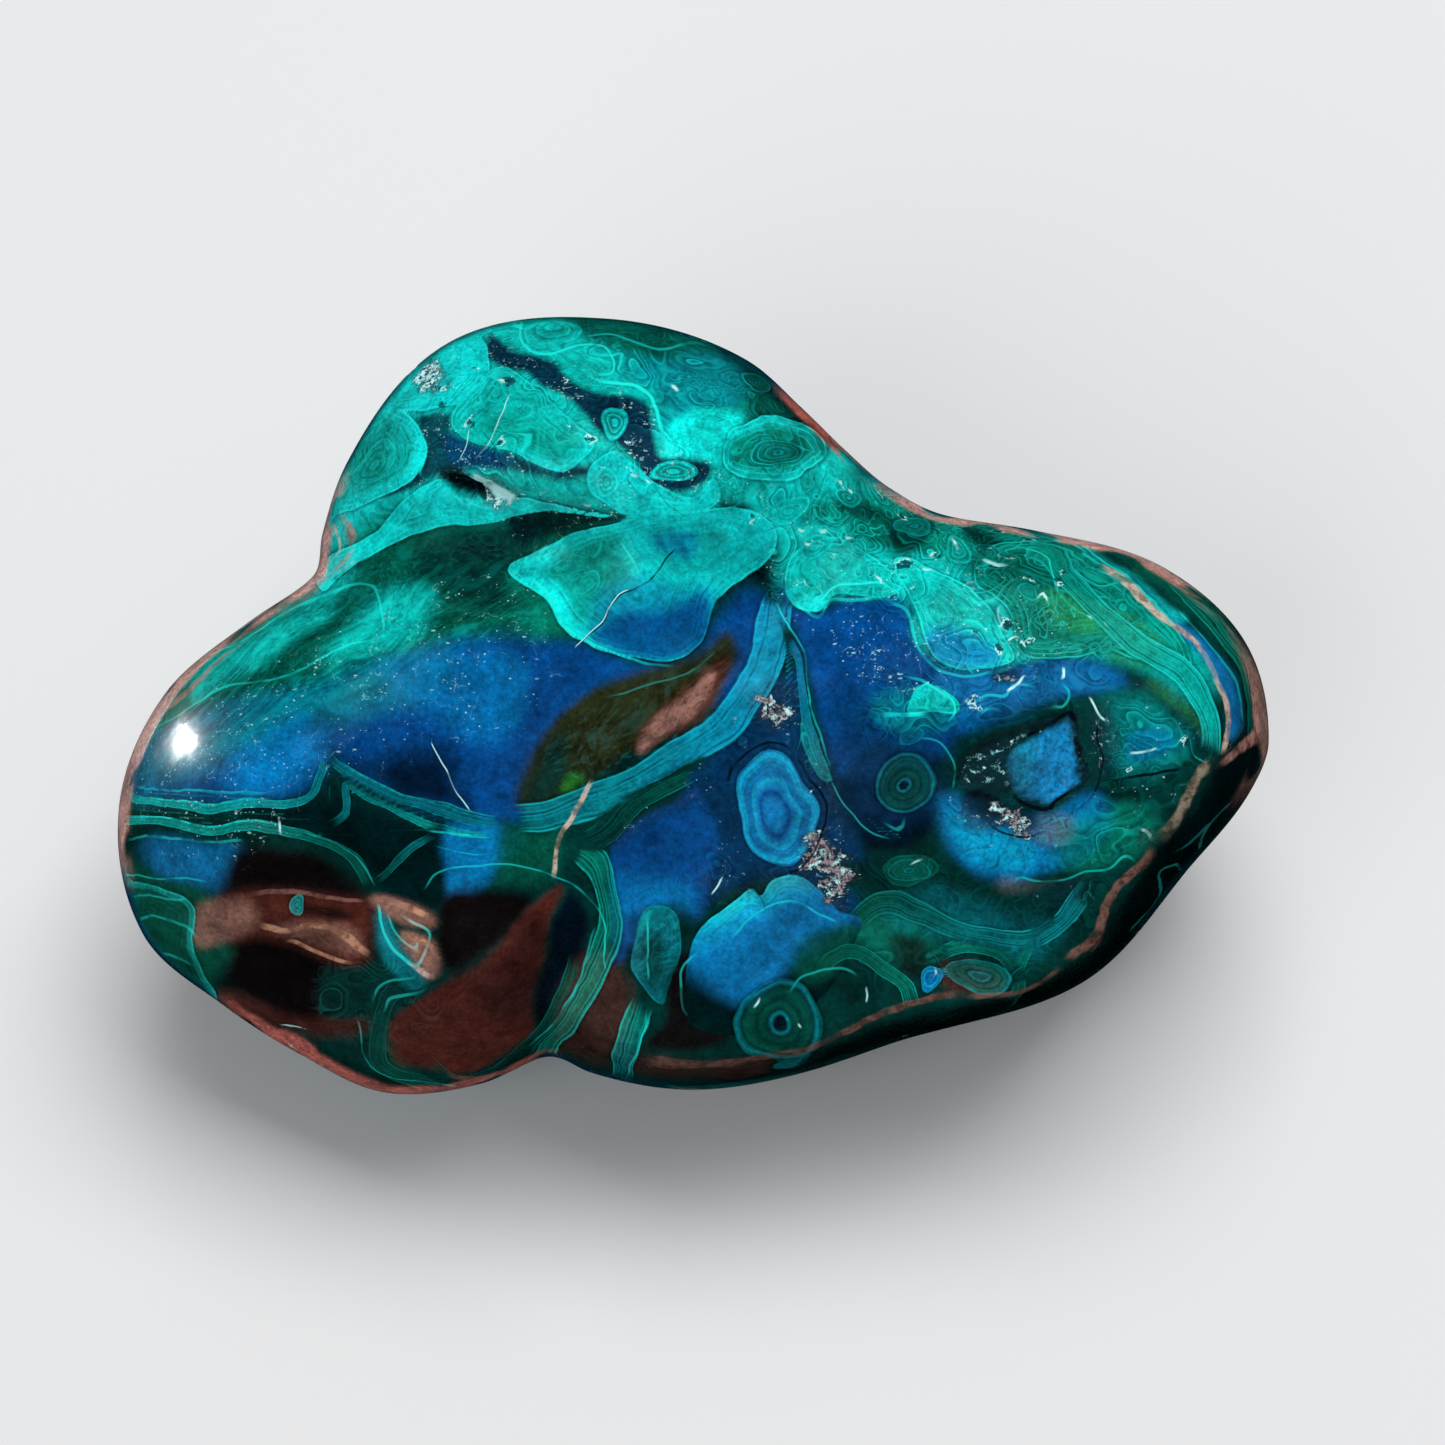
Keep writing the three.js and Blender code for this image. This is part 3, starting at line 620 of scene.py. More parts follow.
# %% Fields of the right lobe
RIGHT_FIELDS = [
    ("sea", 2.0, 1.0, [(10, 15), (10.5, 21), (16, 25), (26, 24), (36, 21), (45, 16), (52, 9), (49, 4),
                       (43, 8), (36, 8), (28, 7.4), (23, 9), (21, 13)]),
    ("royal", 1.0, 1.0, [(9.6, 14.4), (11, 12.9), (13.8, 12.4), (16.9, 13.2), (20, 13.6), (21.8, 12),
                         (23, 9.3), (26, 7), (31, 7), (36, 8), (41, 7.4), (43, 5), (38, 4.4), (32, 2.6),
                         (27, 0.4), (25.6, -2), (21, -0.8), (17.6, -1), (15.4, -3), (13.4, 1.5),
                         (12.9, 6.6), (11, 10)]),
    ("azure", 1.6, 0.75, [(25, 6.4), (31, 6.6), (38, 7.6), (42.4, 6.6), (38, 4.6), (31, 3), (26, 1.6)]),
    ("navy", 2.4, 0.7, [(14, 3), (17, 4.4), (22, 1.6), (24.6, -2), (24, -7), (18, -8.6), (15.3, -4)]),
    ("teal", 1.0, 0.75, [(19, 3.8), (22, 5), (26, 3.6), (25.6, 0.8), (22, 0.6), (19.4, 1.8)]),
    ("malachite", 1.2, 0.9, [(12, 22), (15, 23.4), (20, 23.6), (27, 22.6), (36, 19), (36, 16.4), (30, 15.4),
                             (25, 17.6), (19, 18.4)]),
    ("malachite", 1.5, 0.8, [(32, 16), (36, 16), (40, 12.6), (40, 9), (35, 9), (32, 11.5)]),
    ("leaf", 1.3, 0.6, [(38.4, 15.4), (42, 12), (46.6, 9), (45.6, 7.4), (41, 8.8), (37.6, 12)]),
    ("moss", 1.0, 0.7, [(30, 17.4), (34, 15.6), (37.4, 12.4), (35.6, 11.6), (31.4, 14), (28.4, 16)]),
    ("forest", 0.7, 0.85, [(15, 22.4), (17.6, 22.6), (20, 21.6), (18.6, 20.9), (16, 21.2)]),
    ("forest", 0.7, 0.9, [(19.6, 21), (22.6, 21.4), (24.4, 20.2), (23, 18.6), (21, 17.6), (20, 18.8)]),
    ("forest", 0.7, 0.9, [(27.4, 20), (30, 19.8), (32, 18.6), (30, 17.9), (27.8, 18.6)]),
    ("forest", 1.0, 0.95, [(38, 19.5), (43, 18), (49, 14.5), (55.5, 8), (58, -1), (53.6, -0.6), (52.4, 5),
                           (48.6, 10), (43.5, 15.2)]),
    ("malachite", 0.9, 0.7, [(43, 18), (48, 15.4), (53, 11), (56, 4), (54.8, 4), (52.4, 9), (48, 13),
                             (44, 16)]),
    ("azure", 0.6, 0.95, [(42.4, 15.6), (46, 12.8), (50.4, 9.4), (53, 6), (54, 1.5), (52.9, 0.4), (52.2, 4.3),
                          (50.2, 7.6), (46.6, 11), (43.8, 14)]),
    ("turquoise", 0.6, 0.8, [(44, 14.5), (46.4, 12.8), (48.6, 11.6), (47.4, 11.2), (45, 13)]),
    ("forest", 1.2, 0.9, [(24.4, -4.6), (26, -0.6), (29, 1.8), (34, 3.6), (40, 4.4), (45, 4.4), (49, 2),
                          (50.3, -1.6), (48.6, -6), (45, -9.6), (41, -6), (39.5, 1.6), (33, 2.4),
                          (28, 0)]),
    ("teal", 1.4, 0.35, [(41, 3), (45.6, 3), (48.6, 0.6), (47.4, -2.4), (42.6, -2.8), (40.6, -0.4)]),
    ("azure", 1.2, 1.0, [(24.8, -5.8), (27, -5.6), (31, -7), (36, -7), (39.6, -5), (41.6, -7.6),
                         (38.6, -11.4), (34.4, -13), (31.4, -13.6), (28, -12.4), (25.6, -9.6)]),
    ("sky", 1.4, 0.85, [(26, -7), (30, -8), (34, -10), (33, -12.4), (29, -11.8), (26.4, -9.4)]),
    ("malachite", 1.8, 0.7, [(36, -9.6), (39.4, -7), (44, -6.2), (45.8, -8.8), (42.4, -11.6), (37, -12.6)]),
    ("azure", 0.3, 1.0, SLAB),
    ("sky", 0.3, 0.2, SLAB),
    ("teal", 1.4, 0.5, [(31, -5), (31, -1), (34, 0.6), (34.4, -2), (33.4, -5)]),
    ("leaf", 0.8, 0.4, [(45.6, 5.6), (48.6, 3.4), (50.2, 0.4), (49.4, 0.6), (47.6, 3.2), (45, 4.8)]),
    ("granite", 1.0, 0.3, [(34.6, -7.4), (37.4, -7.8), (36.8, -9.8), (34.4, -9.6)]),
    ("granite", 1.2, 0.3, [(31, -13.4), (35, -14.6), (40, -13.6), (38, -16), (32, -15.6)]),
    # Painted shadow under the step along the hollow's upper edge, over the dark broken floor left of the
    # slab.
    ("ink", 0.4, 0.8, [(26.6, -4.2), (27, -2.2), (29.3, -0.1), (33, 1.4), (31.6, -1.4), (31.4, -4.4),
                       (29, -4.8)]),
    ("ink", 0.9, 0.75, [(27.4, -5.2), (30.4, -4.6), (31.6, -6), (34, -6.6), (34.8, -8.4), (30.4, -8),
                        (27.6, -6.6)]),
    ("forest", 1.2, 1.0, [(14.4, -11.4), (18, -11.6), (24, -10.6), (28, -13.4), (33, -14.4), (39, -12.8),
                          (43.4, -11.8), (40.6, -18), (36, -21.6), (30, -20), (22, -17.6), (17, -15)]),
    ("ink", 1.4, 0.45, [(24, -13), (28, -15.4), (34, -16), (38, -15), (36, -18), (28, -17.6)]),
    ("sea", 1.6, 0.2, [(40.6, 4.6), (45, 4.4), (47.6, 1), (47.6, -2.6), (42.6, -3)]),
    ("azure", 0.8, 0.5, [(43, 1), (46.4, 1.4), (47, -1.2), (43.4, -1.8)]),
]
# %% Fields along the lower edge
LOWER_FIELDS = [
    ("forest", 1.6, 1.0, [(-12, -26), (-8.6, -21.6), (-4, -23), (4, -25), (9, -22), (16.4, -17.4),
                          (22, -18), (31, -20.4), (36.6, -21.8), (30, -25.4), (20, -28.4), (10, -32),
                          (0, -33), (-8, -32)]),
    ("malachite", 1.4, 0.6, [(15, -18), (19.6, -16.4), (23.4, -18.2), (24, -21.4), (19, -20.6)]),
    ("teal", 1.4, 0.4, [(20, -15.4), (26, -14.4), (32, -16.6), (37, -18), (34, -20.6), (27, -19.4),
                        (21, -18)]),
    ("soot", 0.9, 0.95, [(0.4, -20.6), (2.6, -22), (4.4, -24.6), (4.8, -28.6), (1, -30), (-3.6, -29.4),
                         (-1.4, -26.4), (-1.2, -23)]),
    # A painted reflection: a brown patch that the polish mirrors from its surroundings.
    ("iron", 1.2, 0.6, [(-10, -21.4), (-6.6, -20.6), (-4.6, -24), (-6.4, -30.4), (-11, -29.6), (-12, -26.4)]),
    ("soot", 1.0, 0.8, [(20.4, -18.6), (23.2, -19.4), (23.4, -22.4), (21.4, -22.6)]),
    ("iron", 0.9, 0.6, [(25.4, -21.6), (29.6, -22), (30.6, -23.8), (26, -24.6)]),
    # Painted shade: the strip below the lower right ridge, where the side turns down and away from the light.
    ("blackgreen", 1.0, 1.0, [(52, -1.8), (49.6, -7), (45.6, -10.6), (42, -17), (37, -22.4), (30, -25.2),
                              (20, -27.4), (12, -31), (4, -32), (6, -36), (24, -32), (40, -26), (52, -12),
                              (59, -2), (56, 1)]),
    # A painted highlight: copper-brown light along the bottom ridge.
    ("iron", 0.9, 0.5, [(-4.6, -30.3), (1.9, -31.2), (8, -30.6), (8, -31.6), (2, -32.4), (-4, -31.6)]),
]
FIELDS = TOP_FIELDS + LEFT_FIELDS + MIDDLE_FIELDS + RIGHT_FIELDS + LOWER_FIELDS
print(len(FIELDS), "fields of colour")
# %% [markdown]
# ## Growth cells, eyes, ribbons and lines
#
# Malachite grows outwards in layers, so its sections show rings. Three kinds are laid out. A growth cell is
# an outline with bands that follow it inwards. An eye is a small section straight across a stalk, with rings
# right down to its middle. A ribbon is a seam that was filled from both walls. Thin light threads, veins,
# dark cracks and pale flakes are single lines. All of them reach the material as distances.

# %% Growth cells
CELLS = {  # pigment, strength of the rings, outline
    "wedge": ("turquoise", 0.9, [
        (-34.6, 16.6), (-31.8, 18.4), (-29, 20.2), (-27.2, 21.9), (-24.9, 24.1), (-22.6, 24.6), (-20.6, 23.6),
        (-18.5, 22.8), (-16, 23.2), (-12.9, 22.9), (-7.8, 22), (-3.7, 21.2), (-7.8, 21.5), (-12.4, 22),
        (-14.4, 21.6), (-17, 20.9), (-21.1, 20.9), (-24.2, 20.2), (-27.6, 18.8), (-31, 16.4), (-34, 14)]),
    "crown cell": ("turquoise", 1.0, [
        (-28.8, 31.8), (-25.9, 31.2), (-23.1, 32.1), (-20.9, 32.4), (-18.7, 34), (-18.2, 36.6), (-19.2, 38.8),
        (-23, 40), (-27.6, 36.6)]),
    "nautilus": ("sea", 1.0, [
        (-28, 32.2), (-25.9, 30.6), (-24.5, 28.9), (-24.2, 27.3), (-24.8, 25.6), (-26.6, 24.2), (-28.7, 23.2),
        (-32.1, 21.6), (-34.4, 20.6), (-36.4, 23), (-34.4, 29), (-31.4, 32)]),
    "big cell": ("sea", 0.7, [
        (-21.7, 31.7), (-19.6, 33.5), (-18.4, 35.3), (-16.4, 35.9), (-14.5, 34.2), (-12.2, 32.2),
        (-10.5, 30.8), (-8.9, 29.3), (-8.4, 27.9), (-9.2, 26.4), (-10.8, 25.7), (-13.4, 26.3), (-16, 27.6),
        (-19.6, 28.6), (-21.8, 29.9)]),
    "olive nest": ("malachite", 1.0, [
        (7.6, 30.9), (5.2, 29.9), (4.3, 28), (4.5, 25.8), (7, 25), (10, 25), (12.6, 26), (14.4, 27.4),
        (12.6, 29.8), (9.8, 31)]),
    "teal mass": ("turquoise", 0.6, [
        (-8.6, 25.9), (-7.7, 27), (-6.5, 27.6), (-5.3, 27), (-3.8, 26.1), (-2.4, 24.9), (-1.2, 24), (1, 23.5),
        (3.1, 24.9), (3.9, 23.4), (2.6, 22.3), (-0.3, 22), (-2.4, 21.7), (-3.8, 21.4), (-5.8, 21.9),
        (-7.7, 23), (-8.7, 24.2)]),
    "saddle cell": ("turquoise", 0.8, [
        (-4, 21.3), (-9.2, 20.3), (-12.2, 19.1), (-15.1, 17.9), (-16.6, 16.9), (-15, 15), (-12.9, 13.2),
        (-11.1, 11.2), (-9.2, 9.4), (-7.2, 8.3), (-4, 7.7), (-0.9, 7.7), (1.2, 8.8), (2.6, 10.3), (3.6, 13),
        (5.4, 14.9), (8.1, 17), (9.3, 19.1), (9, 20.6), (7.4, 22), (4.7, 22.4), (-0.3, 22)]),
    "leaf cell": ("sea", 0.9, [
        (20.5, 16.9), (21.9, 13.2), (23.4, 10.2), (24.8, 7.9), (27.5, 7.1), (31.4, 7.4), (32.4, 8.6),
        (30.9, 10.4), (29.4, 12.8), (27.2, 15.1), (24.2, 16.6), (21.9, 17.5)]),
    "leg leaf": ("teal", 0.5, [
        (11.7, 2.4), (12.6, 0.8), (13.7, -1.4), (14.5, -3.6), (13.4, -3.3), (12.2, -1.6), (11.5, 0.4)]),
    "dome": ("azure", 0.9, [
        (0.6, -22.6), (1.4, -19.6), (3, -16.9), (5.4, -14.8), (7.1, -13.8), (8.1, -14.6), (8.9, -13.5),
        (11.3, -13.1), (13.6, -14.3), (15.4, -16.2), (17.4, -17.1), (16.4, -20), (14.5, -23.6), (10.1, -27.3),
        (5.3, -28.5), (1, -27)]),
    "finger": ("teal", 0.25, [
        (-4.7, -20.5), (-3.9, -17.8), (-2.8, -16.3), (-1.4, -16), (0, -17.1), (0.3, -19.9), (-0.5, -22.5),
        (-1.5, -25.3), (-3, -24.8), (-4.1, -22.8)]),
    "left bands": ("moss", 0.5, [
        (-60, -12.4), (-54, -13.4), (-49.4, -14), (-46.4, -16), (-46.6, -19), (-45.8, -22), (-45, -24.4),
        (-49, -25), (-56, -19)]),
    "upper right": ("malachite", 0.9, [
        (34, 19.5), (29, 17.8), (28, 15.4), (31.6, 12.2), (33.4, 8.6), (37, 7.8), (41.6, 8.6), (46, 7),
        (49, 5), (48.4, 9.6), (42, 16)]),
    "saddle right": ("sea", 0.8, [
        (10, 15.2), (11, 12.9), (13.4, 12.4), (15.2, 13.6), (17, 13.6), (20.2, 13.6), (21, 15), (18.6, 17.6),
        (14.4, 19.4), (11, 18.4)]),
    "green blob": ("moss", 0.3, [
        (19.3, -12.4), (20.6, -10.9), (23.6, -11.1), (24.9, -12.8), (22.4, -14.2), (20.2, -13.8)]),
    "right cap": ("sea", 0.8, [
        (21.8, 2.8), (22.2, 4.6), (23.6, 5.6), (25.4, 5.2), (26.8, 3.8), (26.4, 2.5), (24.2, 2.7)]),
}
INNER_FIELDS = [  # colours inside the growth cells: pigment, softness, strength, outline
    ("malachite", 1.5, 0.7, [(-17.4, 31.6), (-12.6, 30.6), (-9.8, 28.6), (-11.4, 27.2), (-14.4, 28.4),
                             (-19, 30)]),
    ("malachite", 1.6, 0.75, [(-14, 17), (-11.6, 18.6), (-8.6, 19.6), (-5, 20), (-5.4, 18), (-4.6, 15.8),
                              (-6.6, 13.6), (-9.6, 11.4), (-11.6, 13.6)]),
    ("moss", 1.5, 0.3, [(-11.6, 16.6), (-9.4, 18.4), (-6.6, 18.4), (-6.6, 16), (-9, 14.4)]),
    ("azure", 1.6, 0.6, [(-7.6, 13.6), (-4, 15.6), (0, 15.4), (4, 14.6), (2.4, 12), (-3, 10.6),
                         (-7.6, 11.4)]),
    ("royal", 1.6, 0.95, [(-9, 9.8), (-6.6, 12), (-2, 12.8), (2.6, 14), (3.6, 10.8), (1, 8.2), (-4, 7.2)]),
    ("turquoise", 1.2, 0.9, [(-5.5, 20.8), (-1.3, 21.9), (3.9, 22), (8.6, 20.6), (8.4, 18.2), (6.3, 16.4),
                             (3.4, 15.5), (-0.5, 16.2), (-3.9, 17.8)]),
    ("azure", 0.8, 0.9, [(-2.6, 19.4), (-0.6, 20.2), (1.6, 19.9), (2, 18.4), (0.6, 17.6), (-1.8, 18)]),
    ("azure", 1.4, 0.85, [(23.4, 9.8), (25.2, 11), (28, 10), (30.6, 8.8), (30.4, 7.4), (27, 7), (24.4, 7.8)]),
    ("sea", 1.0, 0.7, [(24, 14.6), (27, 14.2), (29.4, 12), (27.6, 11.2), (24.6, 12.2)]),
    ("malachite", 1.2, 0.8, [(28.6, 16), (33, 17.4), (37.4, 14.6), (36.4, 11.2), (32.4, 12.4)]),
    ("moss", 0.9, 0.7, [(30, 16.4), (33, 17.4), (36.4, 15.8), (35.2, 13.8), (31.6, 15)]),
    ("leaf", 1.2, 0.55, [(34.6, 13.6), (37, 14.2), (40, 12.4), (41.2, 10.6), (38, 10.2), (35.4, 11.6)]),
    ("malachite", 1.4, 0.7, [(-31.8, 27.6), (-29.4, 28.8), (-27.2, 26.8), (-28.8, 24.4), (-31.8, 24.8)]),
    # The vug's opening is painted black here too: painted shade in the hole.
    ("soot", 0.2, 1.0, VUG),
    ("leaf", 1.1, 0.5, [(42.4, 12), (45, 10.4), (46.4, 8.6), (44.6, 8.2), (42, 10)]),
    ("blackgreen", 1.6, 1.0, [(-1, -22), (2, -23), (5.6, -25), (8, -24), (11.4, -21), (17.4, -17.2),
                              (18, -24), (10, -31), (-1, -29)]),
    ("azure", 1.4, 0.9, [(2, -21), (4.4, -18.4), (8, -16.6), (12.4, -16.4), (13.2, -18), (9.6, -22),
                         (5.4, -24)]),
    ("moss", 1.0, 0.8, [(11.6, -19.4), (14, -18), (16.6, -18), (14.4, -22.6), (11, -22.6)]),
    ("forest", 1.0, 0.8, [(-3.9, -20), (-2.6, -18.6), (-1.4, -20), (-2, -24), (-3.4, -23.6)]),
]
# Cell, width in mm, the direction it faces and where along that it starts, pigment, strength.
BORDERS = [
    ("saddle cell", 1.7, (-1, -0.3), 6.5, "turquoise", 0.95),
    ("saddle cell", 0.9, (-1, -0.3), 6.5, "bright", 0.6),
    ("saddle right", 1.6, (-0.2, -1), -16.5, "turquoise", 0.9),
    ("leaf cell", 1.7, (-0.8, -1), -24.5, "turquoise", 0.95),
    ("big cell", 0.8, (0.4, -1), -33, "turquoise", 0.9),
    ("nautilus", 1.0, (1, 0), -40, "turquoise", 0.9),
    ("olive nest", 0.9, (-1, -0.6), -30, "turquoise", 0.7),
    ("dome", 2.8, (-0.5, 1), -21, "sky", 0.9),
    ("dome", 1.3, (-0.5, 1), -19, "turquoise", 0.5),
    ("left bands", 0.5, (-0.2, 1), -20, "sea", 0.6),
    ("right cap", 0.9, (0, 1), 3.4, "turquoise", 0.8),
]
BLUE_EYE = [(5.2, -4.4), (5.8, -2.4), (7.6, -0.9), (10, -1.3), (11.8, -3.4), (13.3, -6.3), (12.6, -9.7),
            (11.2, -11.8), (10, -12.4), (8.3, -11.8), (6.5, -10.3), (5.4, -8.4)]
# A cell that is ringed on one side only: the direction of that side, and where along it the rings start.
RING_SIDES = {"dome": ((-0.35, 1), -19.5)}
SADDLE_AGATE = [(-4.9, 20.2), (-2.3, 21.5), (1.9, 21.8), (5.8, 21.9), (8.4, 20.8), (8.6, 18.8), (6.6, 16.8),
                (3.9, 15.5), (1, 15.9), (-0.6, 15.2), (-2.8, 16.8), (-4.4, 18.4)]


# %% [markdown]
# Most eyes are cut straight across a round stalk, so they are nearly oval. Only the two largest have drawn
# outlines of their own.

# %% Eyes
def oval(centre, half_long, half_wide, turn=0, unevenness=0.1):
    """The outline of an uneven ellipse, as a few points on it."""
    t = np.linspace(0, 2 * np.pi, 12, endpoint=False)
    c, s = np.cos(np.radians(turn)), np.sin(np.radians(turn))
    uneven = 1 + unevenness * np.sin(3 * t + 5 * centre[0])
    u, v = half_long * np.cos(t) * uneven, half_wide * np.sin(t) * uneven
    return np.stack([centre[0] + u * c - v * s, centre[1] + u * s + v * c], axis=1)


# Centre; half-lengths along and across, turn in degrees and unevenness; how blue the eye is instead of green,
# how dim its rings are, strength.
OVAL_EYES = [
    ((4, 18.5), (1.6, 0.8, 4), 0.0, 0.3, 0.8),
    ((21.7, -4.3), (2.8, 2.75, 0, 0.02), 0.0, 1.0, 0.85),
    ((9.6, -27.1), (4.4, 4.2, 0, 0.03), 0.0, 1.0, 0.8),
    ((24, -23.2), (1.2, 1.5, -10), 1.0, 0.0, 1.0),
    ((28.7, -22.8), (3.0, 1.7, -8), 0.0, 0.8, 0.8),
    ((-6.3, 30.4), (1.3, 1.8, -20), 0.0, 0.0, 0.9),
    ((-0.6, 25.9), (2.2, 1.15, 5), 0.0, 0.0, 0.9),
    ((-7.2, 24.6), (1.0, 1.2), 0.0, 0.0, 0.6),
    ((9.3, 27.6), (2.7, 1.3, 4), 0.0, 0.9, 0.85),
    ((-29.1, 26.6), (2.6, 1.4, 40), 0.0, 0.4, 0.6),
    ((-12.1, 39.5), (2.6, 1.7), 0.0, 0.1, 0.7),
    ((10.5, 22.4), (2.1, 1.2, 35), 0.0, 0.1, 0.7),
    ((16.2, 23.2), (1.4, 1.1, -20), 0.0, 0.6, 0.8),
    ((26.6, 18), (1.4, 0.8, -30), 0.0, 0.5, 0.7),
    ((13, 18.8), (1.5, 1.0, 10), 0.1, 0.2, 0.6),
    ((17, 18.4), (1.3, 0.8, -30), 0.1, 0.3, 0.6),
    ((22.2, 20.4), (1.9, 0.9, -12), 0.0, 0.7, 0.7),
    ((29.8, 17.8), (1.5, 0.8, -15), 0.0, 0.9, 0.7),
    ((33.2, 14.2), (1.3, 0.7, -35), 0.0, 0.6, 0.6),
    ((7.3, 34.4), (1.4, 1.0, -20), 0.0, 0.95, 0.9),
    ((21.9, -12.6), (2.2, 1.2, -8), 0.0, 0.9, 0.5),
    ((-36.8, -15.8), (0.8, 1.1), 0.2, 0.3, 0.9),
    ((22, 0.2), (1.4, 1.0, 20), 0.6, 0.4, 0.4),
]
EYES = [((9.3, -7.5), BLUE_EYE, 1.0, 0.0, 1.0), ((2.2, 18.8), SADDLE_AGATE, 0.2, 0.0, 0.45)]
EYES += [(centre, oval(centre, *size), *look) for centre, size, *look in OVAL_EYES]
print(len(CELLS), "growth cells and", len(EYES), "eyes")

# %% [markdown]
# A ribbon is given by its centre line and half its width, and its colour changes from one end to the other.
# Threads are the light growth lines that stand alone. Where one runs close to another, it goes into a table
# of its own, because a vertex can only know the nearest line of each table.

# %% Ribbons
# Half-width in mm, strength, pigments at its start and end, centre line.
RIBBONS = [
    (1.5, 0.8, ("sky", "teal"), [
        (9.4, 14.2), (8.9, 11.9), (8.5, 8.4), (7.2, 5.3), (5.2, 2.3), (2.3, -0.1), (-0.9, -2.1), (-4, -3.6),
        (-6.6, -5.1), (-9.2, -6.4), (-12.4, -7.1), (-16, -7.4)]),  # the sweep
    (1.1, 0.7, ("moss", "forest"), [
        (1.9, -2.6), (-1.9, -4.5), (-5, -6.2), (-7.6, -8.6), (-9.6, -10.4)]),  # its lower lip
    (0.42, 0.8, ("azure", "teal"), [
        (9.1, 13.6), (9.8, 10.2), (11.4, 7.6), (11.8, 4.6), (12, 2), (12.9, -0.7), (13.9, -3)]),  # its leg
    (1.3, 0.6, ("malachite", "malachite"), [
        (-10.6, -9.4), (-8.6, -11.2), (-7.3, -13.6), (-6.7, -16.6), (-7, -19.8), (-8.2, -22.9),
        (-10.2, -26.2), (-12.6, -28.9), (-15.2, -31)]),
    (0.42, 0.65, ("sea", "teal"), [
        (-53.6, -5.2), (-50.9, -5.6), (-47.9, -6), (-43.1, -6.1), (-38.1, -6.3), (-35.7, -5.8), (-34.9, -4.3),
        (-34.4, -1.9), (-34.3, -0.4)]),  # the upper seam, up to the tip of its tent
    (0.5, 0.45, ("teal", "teal"), [
        (-34.3, -0.8), (-33.1, -2.2), (-30.7, -3.8), (-28.1, -5.1), (-24.9, -6.2), (-22.2, -7), (-17.3, -7.6),
        (-13, -7.4)]),
    (0.36, 0.5, ("teal", "sea"), [
        (-33.9, -8.1), (-32, -6.8), (-32, -4.3), (-30.4, -5.2), (-28.1, -6.4), (-24, -8.1), (-17.3, -8.9)]),
    (0.5, 0.6, ("sea", "moss"), [
        (-55.4, -7.2), (-52.2, -7.6), (-47.9, -8.1), (-43.1, -8.2), (-38.4, -8.5), (-34.7, -9.4),
        (-31.4, -11.3), (-29.5, -14.4)]),  # the lower seam
    (0.34, 0.5, ("moss", "teal"), [
        (-29.7, -14.3), (-27.8, -12.2), (-25.6, -10.2), (-23.1, -8.6)]),
    (1.15, 0.7, ("malachite", "sea"), [
        (32.8, 18.6), (35.7, 17.3), (37.9, 15.1), (39.8, 12.8), (42.7, 10.3), (45.8, 8.3), (48.6, 6),
        (50.2, 3.2), (50.8, 0.6), (50.6, -1.6)]),
    (0.8, 0.6, ("forest", "moss"), [
        (-26.6, -22.8), (-28.4, -25.6), (-29, -28.8), (-27.4, -31.6), (-24, -33.4), (-19.6, -33.6)]),
    (0.75, 0.55, ("forest", "moss"), [
        (-25, -31.2), (-20.8, -32.6), (-16.9, -31.2), (-13.8, -28.2), (-11.2, -24.6), (-9.8, -20.4)]),
    (1.0, 0.65, ("moss", "teal"), [
        (16.5, -17.7), (18.6, -15.8), (20.8, -15.4), (22.8, -16.5), (25.3, -17.7), (29, -18.6), (33.8, -18.6),
        (36.3, -17.5), (39, -14.6)]),
    (0.7, 0.55, ("moss", "malachite"), [
        (13.2, -22.6), (14.3, -21), (16.5, -20.5), (19.2, -21.5), (21.3, -23.4), (22.6, -26.4)]),
    (0.7, 0.7, ("malachite", "moss"), [
        (35.1, -17.7), (32.9, -19.8), (32.1, -21.5), (32.4, -24), (30.9, -25.4)]),
    (0.8, 0.7, ("malachite", "moss"), [
        (24.6, -20.8), (27.4, -19.8), (30.4, -20.2), (32, -22.2)]),
    (1.1, 0.6, ("malachite", "teal"), [
        (-3.4, -25), (-4.6, -27.6), (-5.4, -30.4), (-5.6, -33)]),
    (0.9, 0.6, ("malachite", "moss"), [
        (47, 16), (51, 12), (53.8, 8), (55.4, 3.6), (55.6, -1)]),
]
